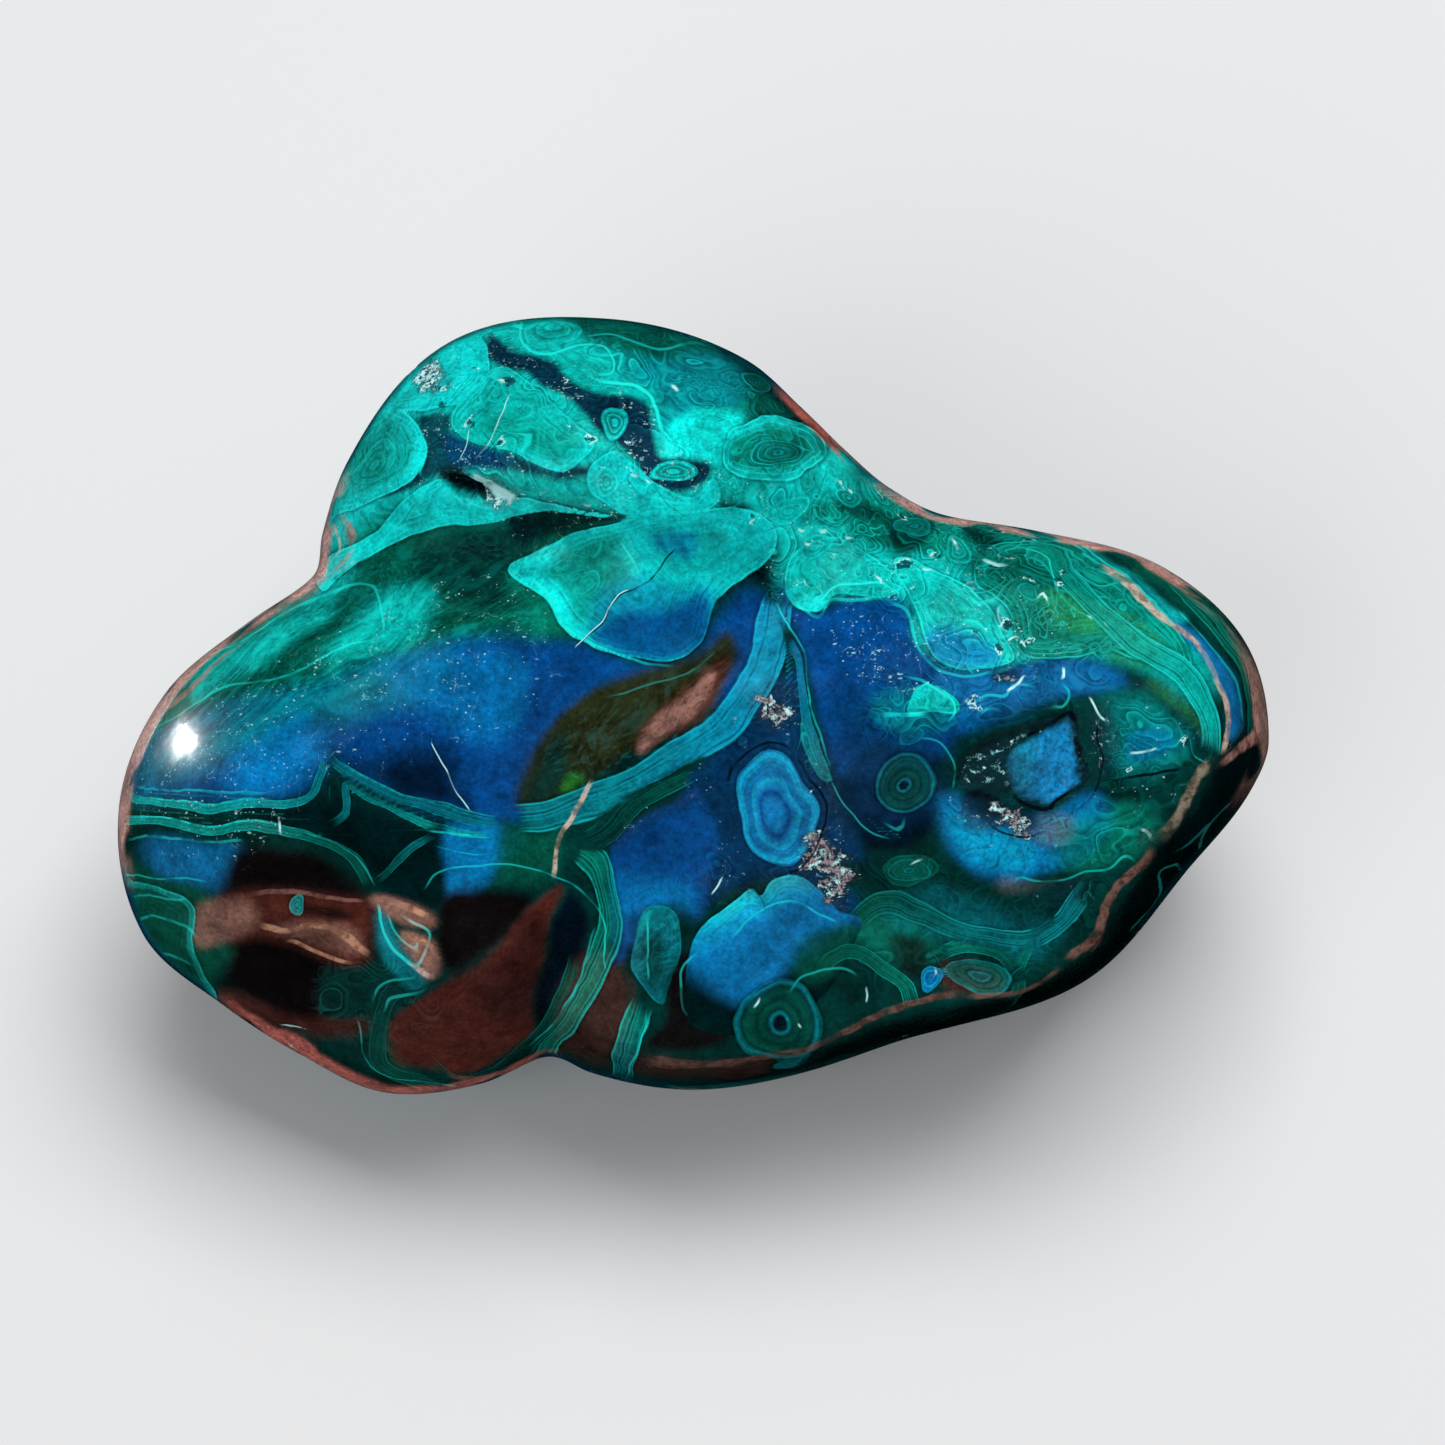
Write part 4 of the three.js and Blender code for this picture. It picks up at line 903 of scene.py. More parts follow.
# %% Threads
# Half-width in mm, strength, line.
THREADS = [
    (0.12, 0.9, [(-52, -4.4), (-47.4, -4.6), (-42.6, -5), (-39, -5.3)]),
    (0.14, 0.9, [(-53, -9.4), (-49, -9.6), (-45, -9.4), (-41.6, -9.7)]),
    (0.1, 0.8, [(-24.4, -8.6), (-20.6, -8.7), (-18.1, -9.3)]),
    (0.08, 0.7, [(-23.6, -10), (-20.6, -10.8), (-18.6, -11)]),
    (0.16, 1.0, [(-9.3, 35.5), (-7.3, 34.9), (-5.6, 34.5), (-3.7, 33.5), (-2.2, 31.5), (-1.1, 28.9),
                 (-1, 27.2)]),
    (0.12, 0.8, [(-15.1, 40.4), (-14.7, 38.3), (-12.7, 37.2), (-9.2, 37.6), (-6.9, 37.2), (-6.3, 35.9),
                 (-7.2, 35.5), (-9.6, 36)]),
    (0.12, 0.7, [(-9, 38.8), (-6.3, 38.9), (-4.1, 38.1), (-0.6, 37.8), (2.4, 38.1), (4.5, 37.3)]),
    (0.12, 0.7, [(-5.6, 19.1), (-4.2, 17), (-3.7, 15.3)]),
    (0.15, 0.9, [(10.8, 13.8), (11.8, 12.6), (13.4, 12), (14.7, 13.1), (16.9, 13.2), (18.8, 13.5),
                 (20.4, 12.8), (21.7, 11.9), (22.6, 10.2), (23.3, 8.6), (24.8, 7.1), (27.4, 6.5),
                 (29.9, 6.7), (32.2, 7.2)]),
    (0.1, 0.8, [(-50.9, -5.2), (-47.9, -5.6), (-43.1, -5.7), (-38.6, -5.8)]),
    (0.1, 0.8, [(-53, -7.2), (-47.9, -7.6), (-43.1, -7.7), (-38.4, -8)]),
    (0.08, 0.6, [(-32.6, -1.9), (-30.4, -3.3), (-27.8, -4.6), (-24.7, -5.7), (-22, -6.4), (-17.3, -7)]),
    (0.08, 0.6, [(-36.4, -8.6), (-33.4, -9.6), (-30.8, -11.6), (-29.2, -14)]),
    (0.12, 0.8, [(1.9, -20.5), (0.3, -22.1), (0.3, -25.1), (0.9, -26.2)]),
    (0.12, 0.9, [(31.9, -13.9), (32.6, -13.2), (34.3, -14), (36.8, -13.9), (38.7, -12.7), (41.2, -12.1),
                 (42.6, -10.9), (43.6, -11.6)]),
    (0.12, 0.9, [(21.4, 5.9), (23.7, 5.6), (25.9, 4.3), (26.3, 2.7), (25.6, 1.4)]),
    (0.22, 1.0, [(19.4, 2.6), (21.2, 2.7), (23.8, 2.5)]),
    (0.14, 0.95, [(27.6, 3.4), (29.4, 4.4), (31.4, 4.2), (32.4, 5.2), (34.2, 5)]),
    (0.14, 0.95, [(36.2, 5.6), (37.2, 4.6), (36.8, 3.2), (35.4, 3.4)]),
    (0.1, 0.4, [(-7.2, 3.9), (-3.6, 4.9), (0.6, 6.4), (3.6, 8.6)]),
    (0.09, 0.9, [(13.9, -2.6), (15.3, -5.6), (16.9, -7.6), (18.4, -9), (20.2, -9.4)]),
    (0.09, 0.9, [(9.1, 13.4), (10.4, 10.6), (12.2, 8), (12.4, 5), (12.6, 2.4), (13.6, -0.6), (14.6, -3.2)]),
    (0.14, 1.0, [(-14.6, 16), (-13.2, 14.2), (-11.6, 12.4), (-10.4, 10.6), (-9.2, 9.6)]),
    (0.1, 0.8, [(32.4, 18.8), (35.4, 16.9), (36.9, 13.2), (39.9, 11.3)]),
    (0.08, 0.7, [(-31.2, -26.6), (-30, -30), (-26.4, -32.8), (-20.6, -33.4)]),
    (0.1, 0.6, [(-50.6, 1.2), (-44, 4.6), (-38, 6.4), (-33, 8.3), (-27.6, 10)]),
    (0.12, 0.6, [(-46, 7.4), (-38.6, 11.6), (-33.2, 14), (-29.6, 14.6), (-28.2, 12), (-28.6, 8.6)]),
    (0.14, 0.7, [(26.6, 11.6), (28.4, 11), (29.8, 9.6)]),
    (0.1, 0.8, [(-54.4, -12.9), (-50.6, -13), (-47.6, -13.1), (-45, -13.6)]),
    (0.14, 0.7, [(-53, -16.9), (-50.4, -17.2), (-47.4, -17.6), (-46, -19)]),
    (0.1, 0.7, [(-51.6, -20), (-49, -20.6), (-46.6, -21.6)]),
    (0.1, 0.8, [(-2.9, -17.2), (-3.3, -20), (-3, -23.4)]),
    (0.1, 0.7, [(-5.4, -33), (-4.2, -29.4), (-3.2, -26.2)]),
    (0.1, 0.8, [(-24.7, -14.4), (-23, -12.7), (-17.9, -12.1), (-11.8, -13.2), (-7.8, -16.6), (-6.7, -22.2)]),
    (0.16, 1.0, [(-28.9, -15.6), (-28.2, -18.9), (-25.9, -21.6), (-23.9, -19), (-25.6, -17.4),
                 (-26.9, -16.6)]),
    (0.14, 0.9, [(-24.2, -23.4), (-27.6, -24.6), (-28.6, -26.2)]),
    (0.12, 0.7, [(10.4, -24.6), (12, -22.6), (14.8, -21.9), (17, -22.6)]),
    (0.12, 0.8, [(4.4, -19.6), (7, -16.8), (10.6, -15.6), (13.6, -16.6), (15.4, -17.6)]),
    (0.14, 0.8, [(19.6, -7.9), (21.2, -8.6), (21.9, -7.4)]),
    (0.1, 0.7, [(37.4, 19), (41.4, 16.6), (45.6, 12.8), (49.6, 8.8)]),
    (0.12, 0.8, [(47.6, 12.4), (50.8, 9.2), (53.2, 5.6), (54.2, 1.4)]),
    (0.12, 0.6, [(53, -5.6), (50.4, -8.6), (48.6, -12), (46.4, -12.6), (45.6, -15.6), (43.4, -18.6)]),
]
CLOSE_THREADS = [  # threads that run near one of the above
    (0.12, 0.9, [(11.2, 15), (12.4, 13.8), (13.6, 13.4), (15, 14.5), (16.8, 14.6), (19, 14.9), (20.2, 14.2)]),
    (0.14, 0.9, [(-14, 14.5), (-12.3, 12.9), (-10.8, 11.3), (-9, 9.6), (-6.4, 8.3), (-3.6, 7.3),
                 (-0.6, 7.2)]),
    (0.12, 0.7, [(22.6, -0.2), (24.8, -0.6), (26.2, -2.6), (26, -5)]),
    (0.12, 0.7, [(-3, 23.4), (-1, 22.9), (1.2, 23.1)]),
    (0.12, 0.9, [(28.4, 2.4), (29.6, 3.2), (31, 3)]),
    (0.12, 0.7, [(-8.2, -18), (-8.8, -21), (-10, -24), (-12.2, -27), (-14.6, -29.2)]),
    (0.12, 0.8, [(-28, -16.6), (-27.2, -18.6), (-25.6, -20.2), (-25.2, -18.6)]),
    (0.12, 0.8, [(-25.4, -22.4), (-28.4, -23.4), (-29.8, -25.4)]),
    (0.12, 0.7, [(-53.6, -14.9), (-50, -15.1), (-46.8, -15.4)]),
    (0.12, 0.6, [(51, -7.6), (48.8, -10), (47.4, -10.8)]),
]
# %% [markdown]
# Iron-stained veins follow old joints in the rock, flakes are pale chips and needles, and cracks are fine and
# dark. Several lines in the table of veins are painted light instead: a painted reflection along the lower
# ridge and the rims, a painted reflection streak on the left shoulder, and painted highlights on the brown
# folds. They are given in the same way as the threads.

# %% Veins, flakes and cracks
VEINS = [  # half-width, strength, pigment, line
    # The next four are a painted reflection along the lower right ridge, where it mirrors warm surroundings.
    (0.55, 0.9, "sand", [(51.6, -1.6), (50.2, -3.2), (49.4, -5), (48.3, -6.8), (46.9, -8.6), (45.6, -9.9)]),
    (0.42, 0.85, "clay", [(45.4, -10.2), (44.2, -11.6), (42.7, -13.1), (41.2, -16.1), (39.7, -19),
                          (36.8, -21.8)]),
    (0.3, 0.6, "clay", [(37.4, -21.4), (34.6, -23.2), (30.6, -24.4), (27, -25)]),  # along the ridge
    (0.34, 0.6, "clay", [(27.5, -24.6), (24.5, -25.2), (19.2, -26.5), (14.1, -28.7), (11.3, -30.1),
                         (7.3, -30.7), (1.9, -31.3), (-3.5, -30.7)]),
    (0.28, 0.9, "cream", [(40.4, 16.8), (43.7, 14.2), (46, 11.9), (49.6, 9), (51.7, 5.2), (52.7, 1.6),
                          (52, -1.4)]),
    # A painted reflection along the right rim.
    (0.5, 0.9, "pink", [(45.4, 17), (47.7, 15.6), (51.8, 12.7), (54.3, 8.9), (55.5, 5.2), (55.8, 0.9),
                        (54.2, -0.8), (51.2, -2.2)]),
    (0.26, 0.9, "cream", [(-8.2, -3.9), (-9.4, -6.2), (-11, -8.6), (-11.7, -11.2), (-11.9, -13.4)]),
    # A painted reflection: a pale streak mirrored along the left shoulder.
    (0.24, 0.6, "pink", [(-30.4, 19.4), (-33.7, 16), (-39.3, 12), (-42.8, 8.8), (-45.6, 5.9), (-49.8, 3.2)]),
    # The next three are painted highlights along the brown folds.
    (0.22, 0.8, "clay", [(-41.8, -15), (-38, -14.6), (-34, -14.9), (-30, -15.5)]),
    (0.3, 0.85, "skin", [(-40.6, -17.4), (-37.4, -18.3), (-35.2, -17.9), (-32.4, -18.7), (-29.6, -20.6)]),
    (0.2, 0.8, "skin", [(-38, -19.2), (-34.6, -20.4), (-31, -21.2)]),
    (0.34, 0.95, "skin", [(-29.2, -15.3), (-26.4, -15.9), (-23.7, -17)]),
    (0.3, 0.9, "skin", [(-26.7, -18.4), (-24.8, -19.6), (-23.3, -21)]),
    (0.22, 0.8, "cream", [(-26.6, -21.2), (-24.9, -22.2), (-23.7, -22.6)]),
    # The next three are the same painted reflection on the left shoulder, widest at its top.
    (0.45, 0.75, "pink", [(-32.8, 21.6), (-31.2, 19.4), (-31.9, 17.2), (-35, 14.2), (-38.8, 11.6)]),
    (0.16, 0.7, "cream", [(-33.4, 20.4), (-32.4, 18), (-35.6, 15), (-39.6, 11.8), (-43.4, 8.6)]),
    (0.14, 0.6, "cream", [(-30.4, 17.4), (-33, 15.4), (-37.6, 12.6), (-41.4, 9.8)]),
    # A painted reflection along the bottom rim.
    (0.34, 0.6, "clay", [(-22.6, -31.8), (-18.6, -32.4), (-15, -31.4)]),
]
FLAKES = [  # pale chips and crystals
    (0.5, 1.0, [(-19.9, 24.9), (-18.9, 24.4), (-17.9, 23.8), (-17, 23.2), (-16, 22.9)]),  # lip of the vug
    (0.06, 0.9, [(-24, -0.4), (-22.2, -2.7), (-21.5, -5.2), (-20.4, -6.6)]),
    (0.08, 0.9, [(3, -14.5), (3.5, -13.8), (4.3, -12.8)]),
    (0.05, 0.9, [(-4.9, 14.4), (-6.4, 13.1), (-7.5, 11.3), (-9.9, 9)]),
    (0.05, 0.7, [(-20, 30.2), (-20.4, 28.2), (-21, 26.4)]),
    (0.05, 0.7, [(-16.4, 33), (-18, 29.6), (-19.6, 26.8)]),
    (0.14, 0.9, [(25.9, 18.8), (26.6, 18)]),
    (0.16, 0.9, [(29, 17.2), (30.2, 16.7), (31.4, 16.6)]),
    (0.12, 0.9, [(27.6, 14.8), (28.2, 14.6)]),
    (0.13, 0.9, [(30.4, 12.6), (30.5, 11.6), (31, 10.6)]),
    (0.1, 0.9, [(31.6, 9.8), (32.4, 10.3), (33.1, 10.2)]),
    (0.12, 0.9, [(34.2, 13.6), (34.9, 14), (35.3, 13.2)]),
    (0.12, 0.8, [(38.9, 11.9), (39.4, 11.5)]),
    (0.12, 0.8, [(40.8, 11.1), (41.2, 10.7)]),
    (0.14, 0.9, [(43.1, -0.6), (44.4, -0.8), (46, -0.7)]),
    (0.12, 0.9, [(39.4, 4.2), (40, 2.6), (40.6, 2)]),
    (0.14, 1.0, [(36.4, 5.8), (36.6, 6.2), (36.6, 7.1)]),
    (0.12, 0.9, [(7, -25.8), (7.4, -25.2), (7.6, -24.8)]),
    (0.12, 0.9, [(11.4, -26.8), (11.8, -27.2)]),
    (0.22, 0.9, [(-0.9, 33.7), (-0.4, 33.6), (-0.1, 33.1)]),
    (0.14, 0.9, [(-4.8, 25.5), (-4.4, 25.3), (-3.9, 25.2)]),
    (0.12, 0.9, [(-3.2, 25), (-2.9, 24.8), (-2.6, 24.5)]),
    (0.12, 0.9, [(-9.3, 22.9), (-9, 22.7), (-8.6, 22.7)]),
    (0.12, 0.9, [(11.4, 20.6), (11.8, 20.3), (12.1, 20.4)]),
    (0.14, 0.9, [(13.4, 20.1), (13.7, 19.9), (14.1, 19.9)]),
    (0.12, 0.9, [(12, 19.3), (12.3, 19.1), (12.7, 19.1)]),
    (0.12, 0.9, [(15.6, 19.3), (16, 19.2), (16.4, 19.3)]),
    (0.12, 0.8, [(18.7, 15.6), (19.2, 15.2), (19.2, 14.7)]),
    (0.14, 0.8, [(23.2, 16.6), (23.7, 16.4), (24.3, 16.4)]),
    (0.12, 0.8, [(27.2, 14.9), (27.6, 15.2), (28.1, 15.1)]),
    (0.14, 1.0, [(31.6, 4.6), (32.6, 5.2), (33.2, 6.4)]),
    (0.12, 0.7, [(23.4, -11.5), (22.6, -11.7), (22, -12)]),
    (0.09, 0.7, [(17.8, -23.4), (18, -24.4), (17.9, -25.2)]),
    (0.12, 0.8, [(24.4, -22.2), (24.6, -22.6), (24.4, -23)]),
    (0.16, 0.8, [(44.2, -8.6), (44.9, -9.2), (45.2, -9.8)]),
    (0.1, 1.0, [(-38.4, -7.6), (-38.4, -8.2), (-38.4, -8.8)]),
    (0.1, 0.7, [(-38.4, -27.2), (-37, -27.7), (-36, -27.6)]),
]
CRACKS = [
    (0.08, 0.9, [(-0.3, 18.5), (-1.6, 17.4), (-3.5, 15.1), (-5.2, 14), (-6.6, 12.8), (-7.4, 11.2),
                 (-9.8, 9.1)]),
    (0.16, 0.95, [(41, -4), (41.8, -3.6), (44.9, -3.4), (48.4, -2.9)]),
    (0.2, 1.0, [(32, -5), (33.4, -6), (35.4, -6.6), (36.4, -6), (38.4, -4.6), (38.8, -3.4), (38.3, -0.6),
                (37.9, 2.4), (36, 1.9), (33, 0.8)]),
    (0.1, 0.9, [(39.9, 2), (39.7, 0.6), (40.2, -1.2), (40, -3.4), (39.6, -5.4), (37.4, -7.4)]),
    (0.12, 0.9, [(29.6, -7.4), (31.4, -9), (33.6, -9.4), (35.6, -8.6)]),
    (0.05, 0.7, [(-19, 30.4), (-18.1, 28.6), (-17.4, 26.6), (-17.7, 25.2)]),
    (0.05, 0.6, [(-24, 29.6), (-22.6, 28.4), (-19.6, 26.6)]),
    (0.06, 0.6, [(5.4, -12.6), (6.8, -13.6), (8.1, -14.9), (8.6, -16.6)]),
    (0.05, 0.5, [(-2.4, 24.4), (-1.2, 22.8), (0.4, 21.6)]),
    (0.12, 0.9, [(4.6, -4.2), (5.2, -1.9), (7.4, -0.3), (10.2, -0.7), (12.3, -3), (13.9, -6.2), (13.2, -10),
                 (11.4, -12.4), (10, -13)]),
    (0.06, 0.6, [(-15.4, 28), (-15, 25.6), (-14.2, 24), (-13.4, 22.8)]),
]
print(len(RIBBONS), "ribbons,", len(THREADS) + len(CLOSE_THREADS), "threads,", len(VEINS), "veins,",
      len(FLAKES), "flakes and", len(CRACKS), "cracks")

# %% [markdown]
# Rough botryoidal crusts, crystal specks and soft streaks have no single line that could be drawn, so these
# are only regions: a strength, a softness and an outline. The material fills them with texture.

# %% Regions of texture
LACE = [  # crusts of tiny ringed lumps
    (0.85, 1.5, [(-35, 20), (-34, 30), (-27, 36), (-19, 41), (-9, 42), (3, 38), (11, 31), (15, 25), (9, 21),
                 (-2, 21), (-12, 24), (-22, 23)]),
    (1.0, 1.5, [(9, 14), (9, 23), (16, 25), (26, 23), (33, 20), (42, 16), (46, 10), (38, 7), (30, 6), (24, 7),
                (20, 12)]),
    (1.0, 1.2, [(17, 3), (20, 7), (27, 6.4), (34, 7.6), (41, 6.4), (40, 3.2), (32, 2.2), (26, -0.6),
                (19, -0.6)]),
    (0.6, 1.0, [(2, -4), (6, 3), (12, 7), (13, 2), (15, -4), (17, -9), (17, -16), (12, -14.6), (6, -13),
                (2, -16)]),
    (0.4, 1.0, [(16, -12), (22, -10.4), (28, -13), (36, -14), (42, -12), (38, -20), (26, -24), (16, -22)]),
    (0.8, 1.5, [(24, -5), (30, -7), (38, -6), (40, -1), (43, 4), (49, 2), (50, -3), (45, -9), (36, -13),
                (28, -12)]),
    (0.45, 2.0, [(-49, 3), (-38, 11), (-31, 17), (-16, 21), (-12, 16), (-24, 11), (-42, 5), (-50, 0)]),
    (0.5, 1.5, [(-14, 17), (-4, 20), (8, 21), (4, 12), (-4, 10), (-10, 11)]),
    (0.45, 1.0, [(-4, -14), (-2, -10), (3, -9), (3.4, -13), (1.6, -17), (-2, -16)]),
    (0.7, 1.0, [(-34, -21), (-28, -21), (-22, -26), (-28, -30), (-34, -27)]),
]
CRUMBS = [  # broken edges with pale grains in them
    (0.62, 0.5, [(26.6, -4.2), (27, -2), (29.2, 0), (32, 1.2), (36, 2.1), (35.6, 1.3), (32.6, 0.2),
                 (31.4, -2), (32, -4.6), (29.4, -4.8)]),
    (0.5, 0.6, [(26.8, -5.8), (30, -5.6), (31.6, -6.4), (30.2, -8.6), (27.6, -8)]),
    (0.45, 0.8, [(39, 2.6), (41, 3.4), (42, 0.6), (41, -3), (39.4, -3.4)]),
    (0.5, 0.6, [(43.6, 5.9), (47.4, 4.8), (49.6, 2), (50.4, -0.6), (49.4, -0.4), (48.2, 2), (46.4, 3.8),
                (43.6, 4.8)]),
    (0.6, 0.5, [(29.6, 6.9), (32.4, 6.7), (33.2, 5.6), (31, 5.2)]),
    (0.42, 1.0, [(15, -14), (12, -13.4), (9, -13), (5, -13.4), (2.4, -12.6), (3, -14.4), (8, -14.4),
                 (12, -14.6)]),
    (0.4, 1.0, [(6.4, 4.6), (9.8, 5.6), (12, 2), (12.6, -2), (13.8, -6), (16.6, -9.6), (16, -8), (14.6, -3),
                (12.6, 1.6), (10.6, 1), (7, 1.6)]),
    (0.36, 0.8, [(-7, -8.6), (-4, -7), (1.6, -4.6), (2, -6.2), (-3, -8), (-6.6, -10)]),
    (0.36, 0.8, [(35, -7.4), (37, -7.6), (36.6, -9.6), (34.6, -9.8)]),
    (0.3, 0.8, [(32, -14), (38, -13.6), (40, -15.4), (34, -16)]),
]
# Pocks are drawn only in colour: the dark hole is painted shade and the light crescent a painted highlight.
POCKS = [  # small pits with a light crescent
    (1.0, 1.2, [(4, 24), (9, 25), (16, 24.6), (27, 22.6), (36, 18.4), (38, 12), (33, 8), (27, 10), (22, 14),
                (12, 15.6), (8, 18)]),
    (0.7, 1.0, [(-27, 31), (-20, 38), (-9, 37), (-2, 33), (-4, 26), (-18, 27)]),
    (0.7, 0.8, [(27, 3), (33, 7.4), (42, 7), (48, 4), (48, -3), (42, -8), (39, -2), (38, 2.6)]),
    (0.9, 0.8, [(2, -4.6), (6, 4), (11, 5), (14, -3), (17, -9), (17, -15), (13, -13), (12, -2), (6, -0.4)]),
]
SPECKS = [  # scattered bright crystals
    (1.0, 0.5, [(-18.5, 38.6), (-14, 37.6), (-10.5, 35.6), (-7.6, 34), (-4, 32.2), (-2, 29.2), (-1.6, 26.8),
                (1.6, 24.2), (4, 25), (3, 27.6), (-0.6, 28.2), (-2.6, 32), (-7, 35.6), (-12, 37)]),
    (0.8, 1.0, [(-26, 31), (-21, 31), (-14, 27), (-7, 26), (-2, 25), (-3, 22.4), (-12, 25), (-24, 24.4)]),
    (0.9, 0.8, [(-17, 21.4), (-9, 22.8), (-3.6, 21.6), (-9, 20.4), (-15, 18.8)]),
    (0.7, 1.0, [(-27, 38), (-22, 38.6), (-20, 35), (-23, 32.6), (-27, 33)]),
    (0.7, 2.0, [(-20, 26), (-5, 27), (4, 25), (12, 23), (17, 17), (16, 10), (8, 12), (7, 20), (-2, 22),
                (-14, 22)]),
    (1.3, 1.0, [(14, 10), (17, 12.4), (21, 12), (23.6, 9), (26.4, 5), (21, 4), (17, 6)]),
    (0.9, 1.0, [(14, 19), (20, 18), (28, 18), (34, 15), (38, 10), (33, 6), (27, 7), (22, 10), (15, 15)]),
    (0.7, 2.0, [(-46, 4), (-30, 12), (-16, 18), (-12, 12), (-14, 2), (-28, -2), (-46, -5)]),
    (0.95, 2.5, [(-52, -1), (-40, 7), (-28, 9), (-26, 2), (-36, -2), (-38, -9), (-50, -11)]),
    (0.8, 0.8, [(0.4, -4.6), (4, 0), (8, 3.6), (11.4, 4), (13, -2), (16.6, -9), (16.6, -15), (13, -13.8),
                (14.4, -7), (12.4, -2), (8.6, 0.4), (5.4, -1), (4.4, -4.6), (5, -9.4), (7, -12), (4.6, -15),
                (3, -15), (3.4, -9), (1.4, -6)]),
    (0.6, 0.8, [(-7, -8.4), (-4, -6.6), (0.6, -4.6), (1.8, -6), (-3, -7.4), (-6.4, -9.6)]),
    (0.4, 1.0, [(24, -5), (30, -6), (36, -8), (38, 4), (48, 2), (49, -5), (42, -9), (34, -12), (26, -9)]),
]
STREAKS = [  # long soft streaks, as in a shell
    (1.0, 2.5, [(-51, 0), (-44, 9), (-33, 17), (-12, 21), (-14, 12), (-26, 7), (-42, 1)]),
    (1.0, 0.8, [(-13, -1), (-6, 4), (2, 8), (4.6, 9), (4, 4), (-4, -1.6), (-10, -4)]),
    (0.3, 1.0, [(-27, -27), (-19, -20.6), (-12, -13), (-13, -24), (-20, -32)]),
    (0.9, 0.5, [(-4.4, -20), (-3, -16.4), (-0.6, -16.4), (0.2, -20), (-1.4, -24), (-3.4, -23)]),
    (0.8, 0.8, [(7.4, 10), (9.6, 14), (8.4, 6), (4, 0), (-3, -5), (-10, -8), (-11, -6), (-3, -1.6),
                (4, 3.6)]),
]
print(len(LACE) + len(CRUMBS) + len(POCKS) + len(SPECKS) + len(STREAKS), "regions of texture")


# %% [markdown]
# ## From the layout to the vertices
#
# Nothing in a stone runs as smoothly as a drawn curve. Before anything is measured, each vertex's place in
# the layout is moved a little by smooth random fields, so that every outline, ring and line wanders by the
# same few tenths of a millimetre, and all of them still fit together.

# %% Wander, then paint the ground
wander = np.stack([0.2 * lumps(solid, 8, seed=11) + 0.03 * lumps(solid, 2.2, seed=12),
                   0.2 * lumps(solid, 8, seed=13) + 0.03 * lumps(solid, 2.2, seed=14)], axis=1)
drawn = at + wander


def painted(colour, cover, name):
    """A coat of one pigment over the colours so far, as thick as `cover` says."""
    return colour + (PIGMENTS[name] - colour) * np.reshape(cover, (-1, 1))


def feathered(outline, soft, spread=1.6):
    """1 inside an outline and 0 outside, eased from one to the other over `spread` times its softness."""
    return ease(0.5 + depth_inside(drawn, outline, margin=soft + 0.5) / (spread * soft))


ground = np.tile(PIGMENTS["forest"], (len(at), 1))
for name, soft, strength, outline in FIELDS:
    ground = painted(ground, feathered(outline, soft) * strength, name)
print("the ground is painted")

# %% [markdown]
# A growth cell's own colours are kept apart from the ground, and reach a little past its outline. The
# material changes from one to the other exactly on the outline, which is sharper than the mesh. In an eye,
# each vertex keeps how far out it is, from 0 in the middle to 1 on the outline, and its depth.

# %% Measure cells and eyes
NOT_INSIDE = -3.0  # the depth of a place that is inside no cell or eye, in mm
PAST_EYES = 4.0  # how far out of an eye such a place is, in the eye's own radii
cells, cells_rings = np.full(len(at), NOT_INSIDE), np.zeros(len(at))
inner = ground.copy()
depth_in = {}
for name, (pigment_name, ring_strength, outline) in CELLS.items():
    depth = depth_inside(drawn, outline, margin=-NOT_INSIDE)
    towards, level = RING_SIDES.get(name, ((0, 0), -1.5))
    ringed = ring_strength * ease((drawn @ np.array(towards, float) - level) / 3 + 0.5)
    cells_rings[depth > cells] = ringed[depth > cells]
    nearest = (depth > cells)[:, None]
    filled = painted(ground, 0.92 * ease(depth + 1.8), pigment_name)
    inner = np.where(nearest, filled, inner)
    depth_in[name] = depth
    cells = np.maximum(cells, depth)
for name, soft, strength, outline in INNER_FIELDS:
    inner = painted(inner, feathered(outline, soft) * strength, name)
for name, width, towards, level, pigment_name, strength in BORDERS:
    in_border = ease(depth_in[name] + 1.8) * ease((width - depth_in[name]) / 0.8 + 0.5)
    facing = ease((drawn @ np.array(towards) - level) / 3 + 0.5)
    nearest = depth_in[name] >= cells - 1e-9
    inner = painted(inner, in_border * facing * strength * nearest, pigment_name)

eyes, eye_out = np.full(len(at), NOT_INSIDE), np.full(len(at), PAST_EYES)
eye_blue, eye_dim, eye_cover = np.zeros((3, len(at)))
for centre, outline, blue, dim, strength in EYES:
    curve = smooth_curve(outline, closed=True) - centre
    turn = np.arctan2(curve[:, 1], curve[:, 0])
    order = turn.argsort()
    away = drawn - centre
    direction = np.arctan2(away[:, 1], away[:, 0])
    reach = np.interp(direction, turn[order], np.hypot(*curve[order].T), period=2 * np.pi)
    out = np.hypot(*away.T) / reach  # 0 in the middle, 1 on the outline
    depth = (1 - out) * np.hypot(*curve.T).mean()
    nearest = depth > eyes
    eyes = np.maximum(eyes, depth)
    eye_out[nearest] = out[nearest]
    eye_blue[nearest], eye_dim[nearest], eye_cover[nearest] = blue, dim, strength
print("cells reach", round(float(cells.max()), 1), "mm deep and eyes", round(float(eyes.max()), 1))

# %% [markdown]
# A line is kept as the signed distance from its middle, in half-widths: -1 on one wall, 0 in the middle and 1
# on the other. It changes sign across the middle, so the material finds even a line that falls between two
# vertices. Its sign also flips beyond the line's ends and halfway to the next line, where nothing should be
# drawn. So each has an amount as well, which fades out before any such place.

# %% Measure ribbons, threads, veins and cracks
FAR_ACROSS = 12  # half-widths, past which a place across a line makes no difference
OFF_LINES = 3.0  # half-widths, for a place that no line of its kind comes near


